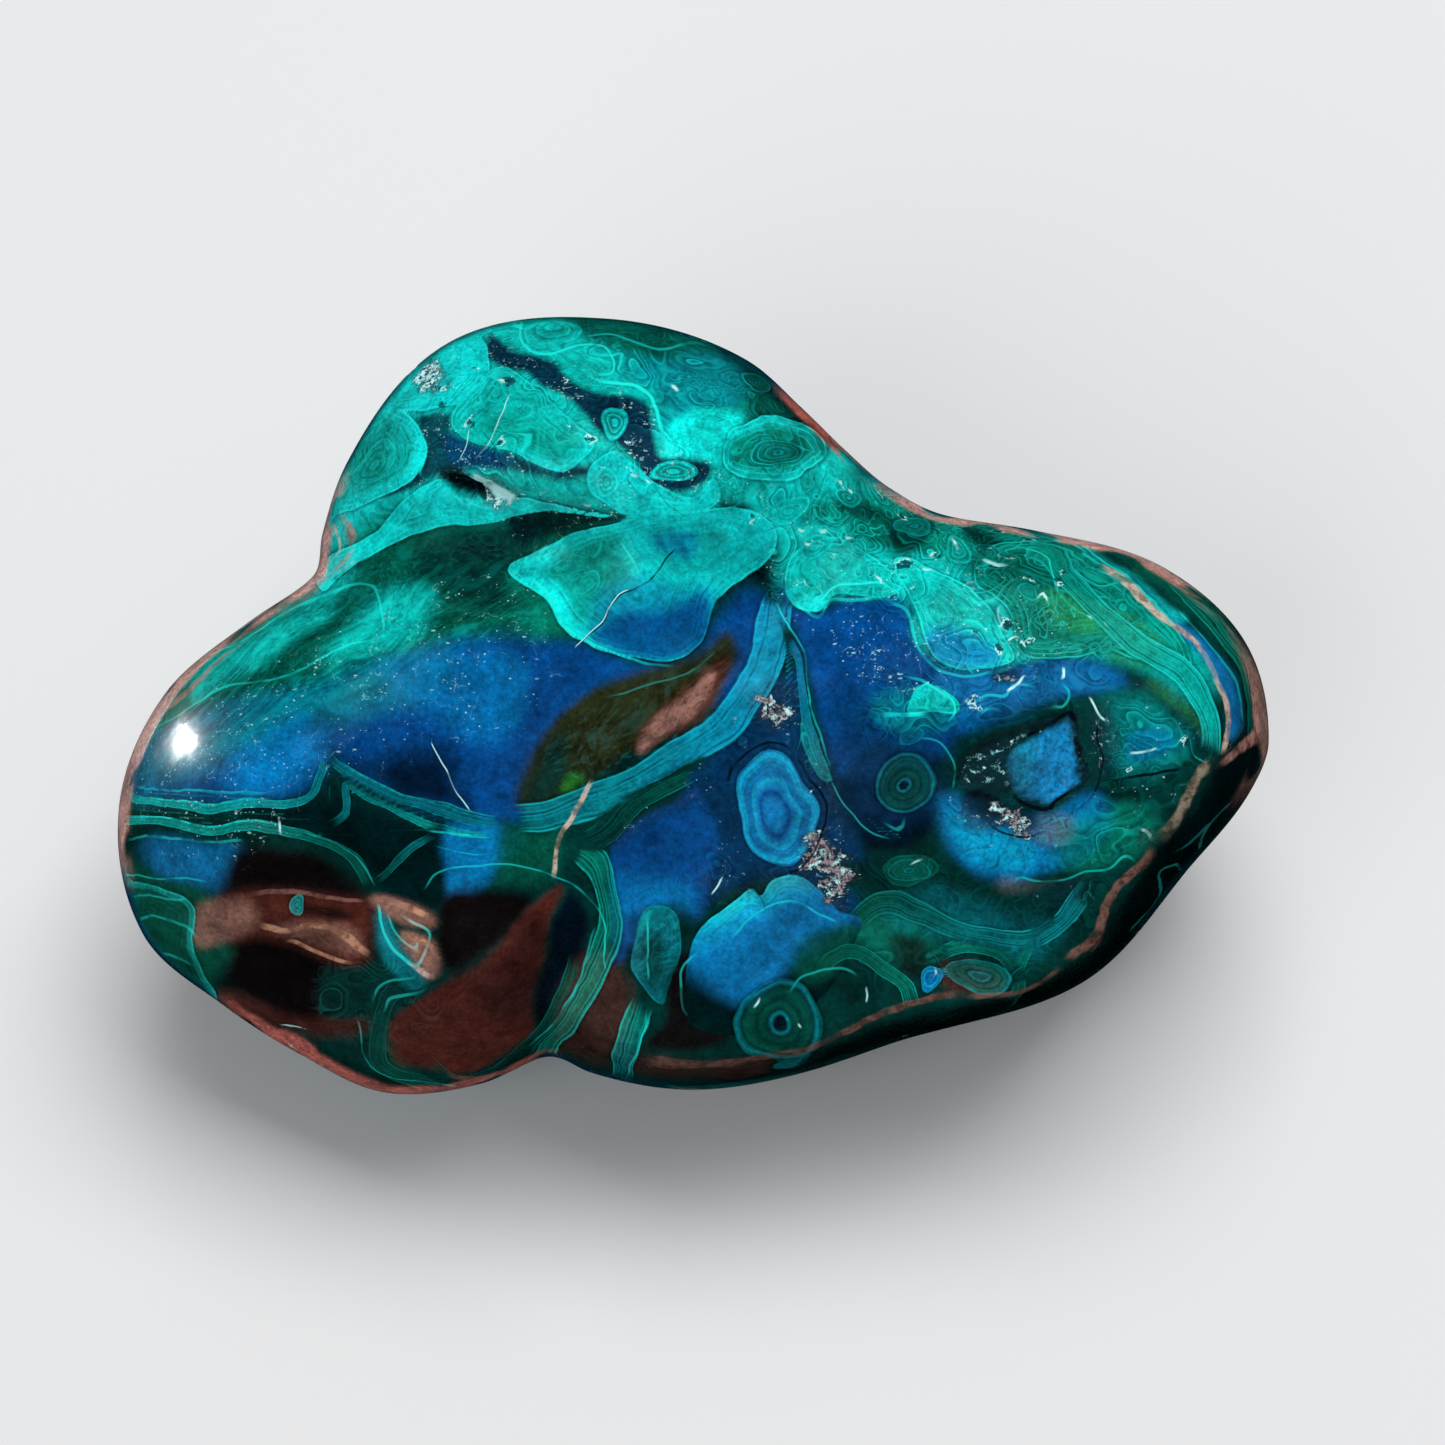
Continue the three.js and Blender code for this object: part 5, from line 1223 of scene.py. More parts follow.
def line_field(lines, near, fade, end_fade):
    """Signed place across the nearest of several lines, its amount, and which line it is.

    The amount is the line's strength, full within `near` mm, gone `fade` mm further out, and eased off over
    `end_fade` mm at both ends and where the next line is as near. A line whose last point is its first is
    closed and has no ends.
    """
    across, amount, which = np.full(len(at), OFF_LINES), np.zeros(len(at)), np.full(len(at), -1)
    closest, runner_up = np.full(len(at), FAR), np.full(len(at), FAR)
    for number, (half_width, strength, *_, points) in enumerate(lines):
        closed = points[0] == points[-1]
        curve = smooth_curve(points[:-1] if closed else points, closed)
        length = np.linalg.norm(np.diff(curve, axis=0), axis=1).sum()
        distance, side, along = measure(drawn, curve, closed, margin=near + fade + 0.5)
        to_end = FAR if closed else np.minimum(along, 1 - along) * length
        to_wall = distance - half_width
        nearer = to_wall < closest
        runner_up = np.where(nearer, closest, np.minimum(runner_up, to_wall))
        closest[nearer] = to_wall[nearer]
        across[nearer] = np.clip(side * distance / half_width, -FAR_ACROSS, FAR_ACROSS)[nearer]
        amount[nearer] = (strength * ease((near + fade - distance) / fade) * ease(to_end / end_fade))[nearer]
        which[nearer] = number
    return across, amount * ease((runner_up - closest) / 0.9), which


# Lines, and the three lengths that line_field asks for.
LINE_KINDS = {
    "ribbon": (RIBBONS, 2.0, 0.8, 2.5), "thread": (THREADS, 0.5, 0.4, 1.2),
    "close_thread": (CLOSE_THREADS, 0.5, 0.4, 1.2), "vein": (VEINS, 1.2, 0.5, 1.2),
    "flake": (FLAKES, 0.6, 0.4, 0.3), "crack": (CRACKS, 0.8, 0.4, 0.6),
}
face_fields, which = {}, {}
for kind, lines_and_lengths in LINE_KINDS.items():
    face_fields[kind], face_fields[kind + "_amount"], which[kind] = line_field(*lines_and_lengths)

ribbon_colour = np.tile(PIGMENTS["teal"], (len(at), 1))
for number, (_, _, (first, last), points) in enumerate(RIBBONS):
    start, end = np.array(points[0]), np.array(points[-1])
    towards_end = ease(((drawn - start) @ (end - start)) / ((end - start) @ (end - start)))
    blend = painted(PIGMENTS[first], towards_end, last)
    ribbon_colour = np.where((which["ribbon"] == number)[:, None], blend, ribbon_colour)
vein_colour = np.array([PIGMENTS[name] for _, _, name, _ in VEINS] + [PIGMENTS["clay"]])[which["vein"]]
print("lines measured:", ", ".join(LINE_KINDS))

# %% [markdown]
# The regions of texture become amounts between nothing and their strength. The vug, the pits and the broken
# hollow get their own colours here as well, so that they fit the relief exactly. The deeper parts of the vug
# and the pits are painted dark, as painted shade in the holes.

# %% Measure the textures and the rough places
def region(fields):
    """How strongly regions of texture cover each vertex."""
    total = np.zeros(len(at))
    for strength, soft, outline in fields:
        total = np.maximum(total, strength * feathered(outline, soft, 2))
    return total


lace, specks, streaks, pocks = region(LACE), region(SPECKS), region(STREAKS), region(POCKS)
in_hollow = ease(hollow_depth / 0.3 + 0.5)
druse = np.maximum(ease(druse_depth / 1.2 + 0.5), region(CRUMBS))
crystal_colour = np.tile(PIGMENTS["granite"], (len(at), 1))
crystal_colour = painted(crystal_colour, ease((at[:, 1] - 16) / 4), "frost")  # whiter in the top lobe
crystal_colour = painted(crystal_colour, 0.7 * in_hollow, "sea")
rough = np.clip(ease(sunk / 0.15) + 0.8 * druse, 0, 1)
ground = painted(ground, 0.9 * in_hollow * (1 - ease(slab_depth / 0.4 + 0.5)), "forest")
# Painted shade: the deeper parts of the vug and the pits are painted ink, more the deeper they go, on both
# layers.
ground = painted(ground, ease(sunk / 0.8 - 0.6) * (1 - in_hollow), "ink")
inner = painted(inner, ease(sunk / 0.8 - 0.6) * (1 - in_hollow), "ink")
for outline in [outline for name, _, _, outline in FIELDS if name == "night"]:
    specks = np.maximum(specks, 1.5 * feathered(outline, 0.5, 2))
print("textures measured")

# %% [markdown]
# ## The back, the sides and the base
#
# Behind the girdle nothing is laid out by hand. Nuclei are scattered over the skin and grow as balls until
# they meet, just as malachite does, so the skin cuts them in rings that run into each other. The zero lines
# of smooth random fields give the ribbons, threads and veins. All use the same distances as the face, so one
# material draws them, and the two patterns fade into each other close to the girdle.

# %% Grow the pattern of the back
BACK_NUCLEI = 90
rng = np.random.default_rng(29)
back_vertices = np.flatnonzero(~on_face | (share > 0.9))
p = skin[back_vertices]
p = p + 0.5 * np.stack([lumps(p, 5, seed=seed) for seed in (21, 22, 23)], axis=1)
nuclei = p[rng.choice(len(p), BACK_NUCLEI)]
growth = rng.uniform(3.0, 11.0, BACK_NUCLEI)
kinds = rng.choice(["turquoise", "sea", "malachite", "malachite", "teal", "moss", "moss", "azure", "royal",
                    "navy"], BACK_NUCLEI)
nucleus_colours = np.array([PIGMENTS[kind] for kind in kinds])
depth_in_ball = growth[None] - np.linalg.norm(p[:, None] - nuclei[None], axis=2)
solid_cells = depth_in_ball.max(axis=1)
weight = np.exp((depth_in_ball - solid_cells[:, None]) / 0.6)
solid_ground = (weight / weight.sum(axis=1, keepdims=True)) @ nucleus_colours
pool = ease(0.5 + 1.2 * lumps(p, 42, seed=31))
shade = ease(0.4 + lumps(p, 30, seed=32))
solid_ground = painted(solid_ground, 0.55 * pool, "royal")
solid_ground = painted(solid_ground, 0.6 * shade * (1 - 0.7 * pool), "forest")
# Painted shade: near the girdle the lower right side turns down and away from the light, so it is painted
# near black.
lower_right_shade = ease(np.sin(np.arctan2(p[:, 1], p[:, 0]) - np.radians(225)) * 1.6 - 0.5)
near_girdle = ease((share[back_vertices] - 0.55) / 0.35)
solid_ground = painted(solid_ground, 0.75 * lower_right_shade * near_girdle, "blackgreen")

# Each is the field over its usual slope to a millimetre, and over the line's half-width.
solid_ribbon = lumps(p, 60, seed=33) / 0.09 / 1.4
solid_thread = lumps(p, 24, seed=34) / 0.22 / 0.14
solid_vein = lumps(p, 46, seed=35) / 0.12 / 0.2
back_fields = {
    "cells": solid_cells, "cells_rings": 1.0,
    "ribbon": np.clip(solid_ribbon, -FAR_ACROSS, FAR_ACROSS),
    "ribbon_amount": ease(2.5 - np.abs(solid_ribbon)),
    "thread": np.clip(solid_thread, -FAR_ACROSS, FAR_ACROSS),
    "thread_amount": 0.8 * ease(6 - np.abs(solid_thread)) * ease(lumps(p, 12, seed=36)),
    "vein": np.clip(solid_vein, -FAR_ACROSS, FAR_ACROSS),
    "vein_amount": 0.8 * ease(6 - np.abs(solid_vein)) * ease(lumps(p, 15, seed=37)),
    "lace": 0.7 * ease(lumps(p, 20, seed=38)), "specks": 0.4 * ease(lumps(p, 14, seed=39) * 2 - 0.9),
    "streaks": 0.6 * ease(lumps(p, 26, seed=40)), "pocks": 0.5 * ease(lumps(p, 18, seed=42) - 0.3),
}
# The back has no eyes, flakes, cracks or broken places: the same value stands for "none here" all over it.
back_fields |= {"eyes": NOT_INSIDE, "eye_out": PAST_EYES, "eye_blue": 0.0, "eye_dim": 0.0, "eye_cover": 0.0,
                "flake": OFF_LINES, "flake_amount": 0.0, "crack": OFF_LINES, "crack_amount": 0.0,
                "close_thread": OFF_LINES, "close_thread_amount": 0.0, "druse": 0.0, "rough": 0.0}
print("the back has", BACK_NUCLEI, "nuclei")

# %% [markdown]
# The two patterns share a narrow strip in front of the girdle, where one fades out and the other in. Along
# parts of it a painted reflection hides the change: the pink and brown that a polished rim mirrors from warm
# surroundings where it turns away at a grazing angle. The colour of the light lines is worked out last,
# because it depends on what they run through.

# %% Join the two patterns across the girdle
face_fields |= {
    "cells": cells, "cells_rings": cells_rings, "eyes": eyes, "eye_out": eye_out, "eye_blue": eye_blue,
    "eye_dim": eye_dim, "eye_cover": eye_cover, "druse": druse, "lace": lace, "specks": specks,
    "streaks": streaks, "rough": rough, "pocks": pocks,
}
to_back = ease((share - 0.965) / 0.035)  # 0 on the face, 1 from the girdle backwards
to_back[~on_face] = 1
fields = {}
for name, back_values in back_fields.items():
    from_face, from_back = np.zeros(len(skin)), np.zeros(len(skin))
    from_face[on_face] = face_fields[name]
    from_back[back_vertices] = back_values
    if name in LINE_KINDS:  # a signed distance can't be mixed, so it changes over where its amount is nothing
        fields[name] = np.where(to_back < 0.5, from_face, from_back)
    elif name.endswith("_amount"):
        fields[name] = from_face * ease(1 - 2 * to_back) + from_back * ease(2 * to_back - 1)
    else:
        fields[name] = from_face * (1 - to_back) + from_back * to_back


def joined(face_colours, back_colours):
    """Colours of the face's and of the back's vertices, mixed across the girdle."""
    from_face, from_back = np.zeros((len(skin), 3)), np.zeros((len(skin), 3))
    from_face[on_face] = face_colours
    from_back[back_vertices] = back_colours
    return from_face + (from_back - from_face) * to_back[:, None]


colours = {"ground": joined(ground, painted(solid_ground, 0.6, "forest")),
           "inner": joined(inner, solid_ground),
           "ribbon_colour": joined(ribbon_colour, painted(solid_ground, 0.35, "turquoise")),
           "vein_colour": joined(vein_colour, PIGMENTS["clay"]),
           "crystal_colour": joined(crystal_colour, PIGMENTS["granite"])}

# Painted reflection along parts of the rim, the pink and brown of warm surroundings mirrored at a grazing
# angle: start and end in degrees round the stone, pigment.
RIM_REFLECTION = [(-8, 12, "clay"), (12, 52, "pink"), (48, 76, "rust"), (140, 196, "pink"), (208, 250, "rust")]
turn_round = np.degrees(np.arctan2(skin[:, 1], skin[:, 0]))
at_rim = ease((share - 0.955) / 0.012) * ease((1.0 - share) / 0.012)
at_rim *= ease(1.2 + 0.9 * lumps(skin, 6, seed=41))
at_rim[~on_face] = 0
for start, end, pigment_name in RIM_REFLECTION:
    ahead = (turn_round - start) % 360
    within = ease(ahead / 6) * ease((end - start - ahead) / 6)
    for name in ("ground", "inner", "ribbon_colour"):
        colours[name] = painted(colours[name], 0.9 * at_rim * within, pigment_name)
    fields["rough"] = np.maximum(fields["rough"], 1.2 * at_rim * within)

# Light lines are a paler kind of what they run through: greener on green, bluer on blue, cream on brown.
seen = np.where(fields["cells"][:, None] > 0, colours["inner"], colours["ground"])
seen = np.where((np.abs(fields["ribbon"]) < 1)[:, None], colours["ribbon_colour"], seen)
brightness = seen @ np.array([0.2126, 0.7152, 0.0722])
total = seen.sum(axis=1) + 1e-6
blueness = ease((seen[:, 2] / total - 0.5) / 0.2)[:, None]
redness = ease((seen[:, 0] / total - 0.3) / 0.25)
line_tint = painted(PIGMENTS["bright"], ease(brightness / 0.35), "glow")
line_tint = line_tint + (PIGMENTS["sky"] * 1.25 - line_tint) * blueness
line_tint = painted(line_tint, redness, "pink")
colours["line_tint"] = seen + (line_tint - seen) * (0.12 + 0.8 * ease(brightness / 0.2))[:, None]
print("patterns joined over", np.count_nonzero((to_back > 0) & (to_back < 1)), "vertices")

# %% [markdown]
# ## The mesh object
#
# The mesh takes the solid's place under the name of its finish, and carries every field as an attribute of
# its vertices.

# %% Build the stone
mesh = bpy.data.meshes.new("malachite")
mesh.from_pydata(((leaning + seat) * MM).tolist(), [], faces)
mesh.polygons.foreach_set("use_smooth", np.ones(len(faces), dtype=bool))
for name, values in fields.items():
    mesh.attributes.new(name, "FLOAT", "POINT").data.foreach_set("value", values.astype(np.float32))
for name, values in colours.items():
    opaque = np.column_stack([np.clip(values, 0, 1), np.ones(len(values))]).astype(np.float32)
    mesh.attributes.new(name, "FLOAT_COLOR", "POINT").data.foreach_set("color", opaque.ravel())
mesh.update()
stone = bpy.data.objects.new("malachite", mesh)
bpy.context.collection.objects.link(stone)
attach(stone, "root")
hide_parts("stone")
print(len(mesh.vertices), "vertices and", len(mesh.polygons), "faces")

# %% [markdown]
# ## The material
#
# The material adds all that is finer than the mesh. Long node trees are hard to read, so a few short
# functions stand for the nodes. Each adds its node to `tree`, the group or material that is being built, and
# returns the node's output. Each effect is a group of its own with named sockets. Lengths inside the groups
# are millimetres, like the fields.

# %% Short names for nodes
def start_group(name, inputs, outputs):
    """Make `tree` an empty node group with float or vector inputs and float outputs. Returns its two ends."""
    global tree
    tree = bpy.data.node_groups.new(name, "ShaderNodeTree")
    for socket in inputs:
        kind = "NodeSocketVector" if socket == "Position" else "NodeSocketFloat"
        tree.interface.new_socket(socket, in_out="INPUT", socket_type=kind)
    for socket in outputs:
        tree.interface.new_socket(socket, in_out="OUTPUT", socket_type="NodeSocketFloat")
    return tree.nodes.new("NodeGroupInput").outputs, tree.nodes.new("NodeGroupOutput").inputs


def feed(value, socket):
    """Link a socket to another, or set it if the value is a plain number."""
    if isinstance(value, bpy.types.NodeSocket):
        tree.links.new(value, socket)
    else:
        socket.default_value = value


def maths(operation, *values, clamp=False):
    """A Math node of one to three values."""
    node = tree.nodes.new("ShaderNodeMath")
    node.operation = operation
    node.use_clamp = clamp
    for value, socket in zip(values, node.inputs):
        feed(value, socket)
    return node.outputs[0]


def less(a, b):
    """a - b."""
    return maths("SUBTRACT", a, b)


def line_of(value, factor, offset, clamp=False):
    """The straight line value * factor + offset."""
    return maths("MULTIPLY_ADD", value, factor, offset, clamp=clamp)


def times(*values):
    """All the values multiplied."""
    return reduce(lambda a, b: maths("MULTIPLY", a, b), values)


def most(*values):
    """The highest of the values."""
    return reduce(lambda a, b: maths("MAXIMUM", a, b), values)


def smooth_step(value, start, end, low=0.0, high=1.0):
    """`low` where the value is at or before `start`, `high` from `end` on, and eased between them."""
    node = tree.nodes.new("ShaderNodeMapRange")
    node.interpolation_type = "SMOOTHSTEP"
    feed(value, node.inputs["Value"])
    for name, number in zip(("From Min", "From Max", "To Min", "To Max"), (start, end, low, high)):
        feed(number, node.inputs[name])
    return node.outputs["Result"]


print("node helpers ready")

# %% [markdown]
# ### Bands
#
# Growth leaves bands: each layer has its own darkness, and some meet in a thin light line. So a number that
# rises through the layers is all that an effect has to supply. Its whole part picks a random darkness. A
# layer starts with a light line where the number passes a whole one, and darkens towards the next. Every
# ringed effect below uses this one group.

# %% Bands
def dice(value, shift):
    """A random number from 0 to 1 that depends only on `value`."""
    node = tree.nodes.new("ShaderNodeTexWhiteNoise")
    node.noise_dimensions = "1D"
    feed(maths("ADD", value, shift), node.inputs["W"])
    return node.outputs["Value"]


given, made = start_group("Bands", ["Layer"], ["Light", "Dark"])
bands = tree
number = maths("FLOOR", given["Layer"])
through = less(given["Layer"], number)
border = maths("FLOOR", maths("ADD", given["Layer"], 0.5))
to_border = maths("ABSOLUTE", less(given["Layer"], border))
drawn_line = smooth_step(dice(border, 0.13), 0.25, 0.85)
crisp = times(smooth_step(to_border, 0.16, 0.04), drawn_line)
strength = smooth_step(dice(number, 3.7), 0.3, 0.9)
feed(most(crisp, times(smooth_step(through, 0.75, 0.0), strength, 0.55)), made["Light"])
darkness = smooth_step(dice(number, 7.31), 0.3, 0.9)
late = times(smooth_step(through, 0.2, 0.9), smooth_step(to_border, 0.02, 0.1))
feed(times(darkness, late), made["Dark"])
print("bands ready")

# %% [markdown]
# ### Rings and seams
#
# The rings of a cell or an eye follow its outline inwards, so the depth under the outline, stretched by slow
# noise, is the number that the bands read. The rim is the clearest part: a dark line outside it and up to
# three light ones inside, worn away in places. A seam carries its bands lengthwise, between two light walls.
# A thread, a vein or a crack needs no bands, only a width that wobbles and wears thin.

# %% Growth rings
def noise(vector, scale, detail=2.0, roughness=0.5, output="Fac"):
    """Noise with blobs about 1 / scale mm across."""
    node = tree.nodes.new("ShaderNodeTexNoise")
    feed(vector, node.inputs["Vector"])
    node.inputs["Scale"].default_value = scale
    node.inputs["Detail"].default_value = detail
    node.inputs["Roughness"].default_value = roughness
    return node.outputs[output]


def stripe(value, start, full, still, end):
    """1 where the value lies between `full` and `still`, eased to 0 at `start` and `end`."""
    return times(smooth_step(value, start, full), smooth_step(value, end, still))


def effect(group, **values):
    """A group placed in `tree`, its inputs fed by name."""
    node = tree.nodes.new("ShaderNodeGroup")
    node.node_tree = group
    for name, value in values.items():
        feed(value, node.inputs[name])
    return node.outputs


given, made = start_group("Growth rings", ["Depth", "Position", "Fineness"], ["Light", "Dark"])
rings = tree
place = given["Position"]
depth = line_of(less(noise(place, 0.45, 1), 0.5), 0.35, given["Depth"])
spacing = maths("ADD", times(noise(place, 0.11, 1), 1.6), 0.3)
band = effect(bands, Layer=times(depth, given["Fineness"], spacing))
inside = smooth_step(depth, 0.0, 0.12)
patchy = smooth_step(noise(place, 0.22, 3, 0.6), 0.4, 0.62, 0.15, 1.0)
weaker = times(smooth_step(depth, 0.8, 4.0, 1.0, 0.5), patchy)  # the bands fade inwards
worn = smooth_step(noise(place, 0.4, 3, 0.6), 0.38, 0.58, 0.3, 1.2)
first_line = stripe(depth, 0.02, 0.08, 0.14, 0.24)
second_line = stripe(depth, 0.5, 0.56, 0.6, 0.68)
third_line = stripe(depth, 0.98, 1.05, 1.1, 1.22)
rims = times(line_of(second_line, 0.75, line_of(third_line, 0.5, first_line)), worn)
feed(most(times(band["Light"], inside, weaker), rims), made["Light"])
rim_shade = stripe(depth, -0.35, -0.08, -0.02, 0.06)
feed(most(times(band["Dark"], inside, weaker), rim_shade), made["Dark"])
print("growth rings ready")

# %% Seams, single lines
given, made = start_group("Seam", ["Across", "Amount", "Position"], ["Light", "Dark", "Inside"])
seam = tree
slow = less(noise(given["Position"], 0.12, 2), 0.5)
quick = less(noise(given["Position"], 0.6, 1), 0.5)
across = line_of(quick, 0.08, given["Across"])
band = effect(bands, Layer=times(line_of(slow, 0.9, across), 3.6))
wall = maths("ABSOLUTE", across)
inside = times(smooth_step(wall, 1.0, 0.93), smooth_step(given["Amount"], 0.0, 0.5))
wall_line = stripe(wall, 0.8, 0.87, 0.94, 1.0)
feed(times(most(times(band["Light"], 0.7), times(wall_line, 0.8)), inside), made["Light"])
wall_shade = stripe(wall, 0.98, 1.03, 1.1, 1.3)
feed(most(times(band["Dark"], 1.1, inside), times(wall_shade, given["Amount"])), made["Dark"])
feed(times(inside, given["Amount"]), made["Inside"])

given, made = start_group("Line", ["Across", "Amount", "Position"], ["Cover"])
line = tree
wobble = less(noise(given["Position"], 0.8, 1), 0.5)
across = maths("ABSOLUTE", line_of(wobble, 0.9, given["Across"]))
worn = smooth_step(noise(given["Position"], 0.35, 2), 0.36, 0.5)  # thinner stretches
feed(times(smooth_step(across, 1.25, 0.6), given["Amount"], line_of(worn, 0.7, 0.3)), made["Cover"])
print("seams and lines ready")

# %% [markdown]
# ### Lace, specks, pocks and streaks
#
# Crusts of tiny ringed lumps are the height lines of a smooth random landscape, cut into bands like the rest.
# Where the landscape is steep the rings crowd, and where it is flat they spread, which no even spacing gives.
# A second, finer landscape adds the smallest rings here and there. Specks are round or long grains of three
# sizes that gather in clusters. Pocks are small pits drawn only in colour: a dark hole that is painted shade,
# with a light lip on one side that is a painted highlight. Streaks are noise drawn out along one direction,
# with finer fibres in it.

# %% Lace
def moved(vector, size, amount):
    """A vector pushed about by noise, by up to about `amount` mm either way."""
    push = tree.nodes.new("ShaderNodeVectorMath")
    push.operation = "MULTIPLY_ADD"
    feed(noise(vector, 1 / size, 1, output="Color"), push.inputs[0])
    push.inputs[1].default_value = (2 * amount,) * 3
    feed(vector, push.inputs[2])
    return push.outputs[0]


given, made = start_group("Lace", ["Position", "Amount"], ["Light", "Dark"])
crusts = tree
place = given["Position"]


def height_lines(per_mm, turns):
    """Bands along the height lines of a landscape with `per_mm` hills to a millimetre."""
    landscape = noise(moved(place, 0.7 / per_mm, 0.2 / per_mm), per_mm, 1, 0.4)
    return effect(bands, Layer=times(landscape, turns))


coarse_lace, fine_lace = height_lines(0.2, 15.0), height_lines(0.5, 9.0)
where_fine = smooth_step(noise(place, 0.17, 2), 0.44, 0.56)
coarse_light = times(coarse_lace["Light"], smooth_step(where_fine, 0.8, 0.0, 0.35, 1.0))
feed(times(most(coarse_light, times(fine_lace["Light"], where_fine)), given["Amount"]), made["Light"])
feed(times(most(coarse_lace["Dark"], times(fine_lace["Dark"], where_fine)), given["Amount"]), made["Dark"])
print("lace ready")

# %% Specks and pocks
def scaled(vector, factors):
    """A vector times a number, or times a vector of three."""
    node = tree.nodes.new("ShaderNodeVectorMath")
    node.operation = "MULTIPLY"
    feed(vector, node.inputs[0])
    node.inputs[1].default_value = factors if isinstance(factors, tuple) else (factors,) * 3
    return node.outputs[0]


def grains(vector, per_mm):
    """Voronoi cells, `per_mm` to a millimetre: the distance to a cell's middle, and three dice of its own."""
    node = tree.nodes.new("ShaderNodeTexVoronoi")
    feed(vector, node.inputs["Vector"])
    node.inputs["Scale"].default_value = per_mm
    apart = tree.nodes.new("ShaderNodeSeparateColor")
    feed(node.outputs["Color"], apart.inputs[0])
    return node.outputs["Distance"], apart.outputs


# Cells per mm, scale along X, share of cells that hold a grain, least amount that shows any, grain size.
GRAINS = [(3.6, 0.8, 1.0, 0.15, 0.3), (1.1, 1.0, 0.14, 0.0, 0.18), (2.4, 0.35, 0.6, 0.05, 0.24)]
given, made = start_group("Specks", ["Position", "Amount"], ["Cover"])
dots = tree
place = given["Position"]
web = maths("ABSOLUTE", less(noise(moved(place, 3.0, 0.8), 0.16, 3, 0.6), 0.5))
clusters = most(smooth_step(noise(place, 0.35, 4, 0.7), 0.44, 0.64), smooth_step(web, 0.05, 0.005))
plenty = times(clusters, given["Amount"])
covers = []
for per_mm, scale_x, share_of_cells, least, size in GRAINS:
    away, chance = grains(scaled(moved(place, 1.2, 0.15), (scale_x, 1.0, 1.0)), per_mm)
    present = smooth_step(less(line_of(plenty, share_of_cells, -least), chance[0]), 0.0, 0.1)
    edge = smooth_step(less(line_of(chance[1], size, 0.06), away), -0.02, 0.1)
    covers.append(times(present, edge, line_of(chance[2], 0.7, 0.3)))
filament = times(smooth_step(web, 0.003, 0.001), smooth_step(noise(place, 0.8, 3, 0.7), 0.5, 0.65, 0.0, 0.6))
feed(most(*covers, times(filament, given["Amount"])), made["Cover"])

# Pocks: the dark hole is painted shade, and the light lip on one side a painted highlight.
given, made = start_group("Pocks", ["Position", "Amount"], ["Light", "Dark"])
pock_shading = tree
place = given["Position"]
away, chance = grains(scaled(moved(place, 1.6, 0.6), (0.7, 1.0, 1.0)), 0.5)
present = smooth_step(less(times(given["Amount"], 0.45), chance[0]), 0.0, 0.1)
uneven = line_of(noise(place, 1.1, 4, 0.7), 1.2, -0.6)
left = less(line_of(chance[1], 0.2, 0.06), maths("ADD", away, uneven))
one_side = smooth_step(noise(place, 0.9, 2), 0.53, 0.6)
feed(times(smooth_step(left, 0.0, 0.04), present), made["Dark"])
feed(times(stripe(left, -0.14, -0.08, -0.03, 0.02), present, one_side), made["Light"])
print("specks and pocks ready")

# %% Streaks
given, made = start_group("Streaks", ["Position", "Amount"], ["Light", "Dark"])
flow = tree
turn = tree.nodes.new("ShaderNodeMapping")
turn.inputs["Rotation"].default_value = (0, 0, np.radians(-38))
feed(moved(given["Position"], 9.0, 2.5), turn.inputs["Vector"])
long_noise = noise(scaled(turn.outputs[0], (0.05, 0.6, 0.6)), 1.0, 4, 0.62)
fibre = noise(scaled(turn.outputs[0], (0.12, 2.6, 2.6)), 1.0, 3, 0.6)
light = most(smooth_step(long_noise, 0.52, 0.68), times(smooth_step(fibre, 0.52, 0.66), 0.8))
feed(times(light, given["Amount"]), made["Light"])
dark = most(smooth_step(long_noise, 0.5, 0.36), smooth_step(fibre, 0.46, 0.36))
feed(times(dark, given["Amount"]), made["Dark"])
print("streaks ready")

# %% [markdown]
# ## From the ground up
#
# In the material, each layer hides what is under it: the ground, the growth cells, the eyes and the ribbons.
# They change over exactly on the outlines. All but the eyes bring their colours from the mesh, because an
# eye's rings are finer than its vertices. Clouds, grit and a mottle then make all of them uneven.

# %% Place the effects
material = bpy.data.materials.new("polished malachite")
material.use_nodes = True
tree = material.node_tree
shader = tree.nodes["Principled BSDF"]
position = scaled(tree.nodes.new("ShaderNodeTexCoord").outputs["Object"], 1 / MM)


def field(name, output="Fac"):
    """One of the mesh's own fields."""
    node = tree.nodes.new("ShaderNodeAttribute")
    node.attribute_name = name
    return node.outputs[output]


def single_line(name):
    """The cover of one kind of single line."""
    return effect(line, Across=field(name), Amount=field(name + "_amount"), Position=position)["Cover"]


cell_rings = effect(rings, Depth=field("cells"), Position=position, Fineness=1.9)
eye_rings = effect(rings, Depth=field("eyes"), Position=position, Fineness=2.6)
seams = effect(seam, Across=field("ribbon"), Amount=field("ribbon_amount"), Position=position)
lace_rings = effect(crusts, Position=position, Amount=field("lace"))
flowing = effect(flow, Position=position, Amount=field("streaks"))
in_cell = smooth_step(field("cells"), 0.0, 0.1)
in_eye = times(smooth_step(field("eyes"), 0.0, 0.08), field("eye_cover"))
on_top = less(1.0, seams["Inside"])
below_eye = times(less(1.0, in_eye), on_top)

# %% Colours of the eyes
def mixed(factor, a, b, blend="MIX"):
    """Two colours mixed. A colour may be given by its pigment's name."""
    node = tree.nodes.new("ShaderNodeMix")
    node.data_type = "RGBA"
    node.blend_type = blend
    feed(factor, node.inputs[0])
    for colour, socket in ((a, node.inputs[6]), (b, node.inputs[7])):
        feed((*PIGMENTS[colour], 1) if isinstance(colour, str) else colour, socket)
    return node.outputs[2]


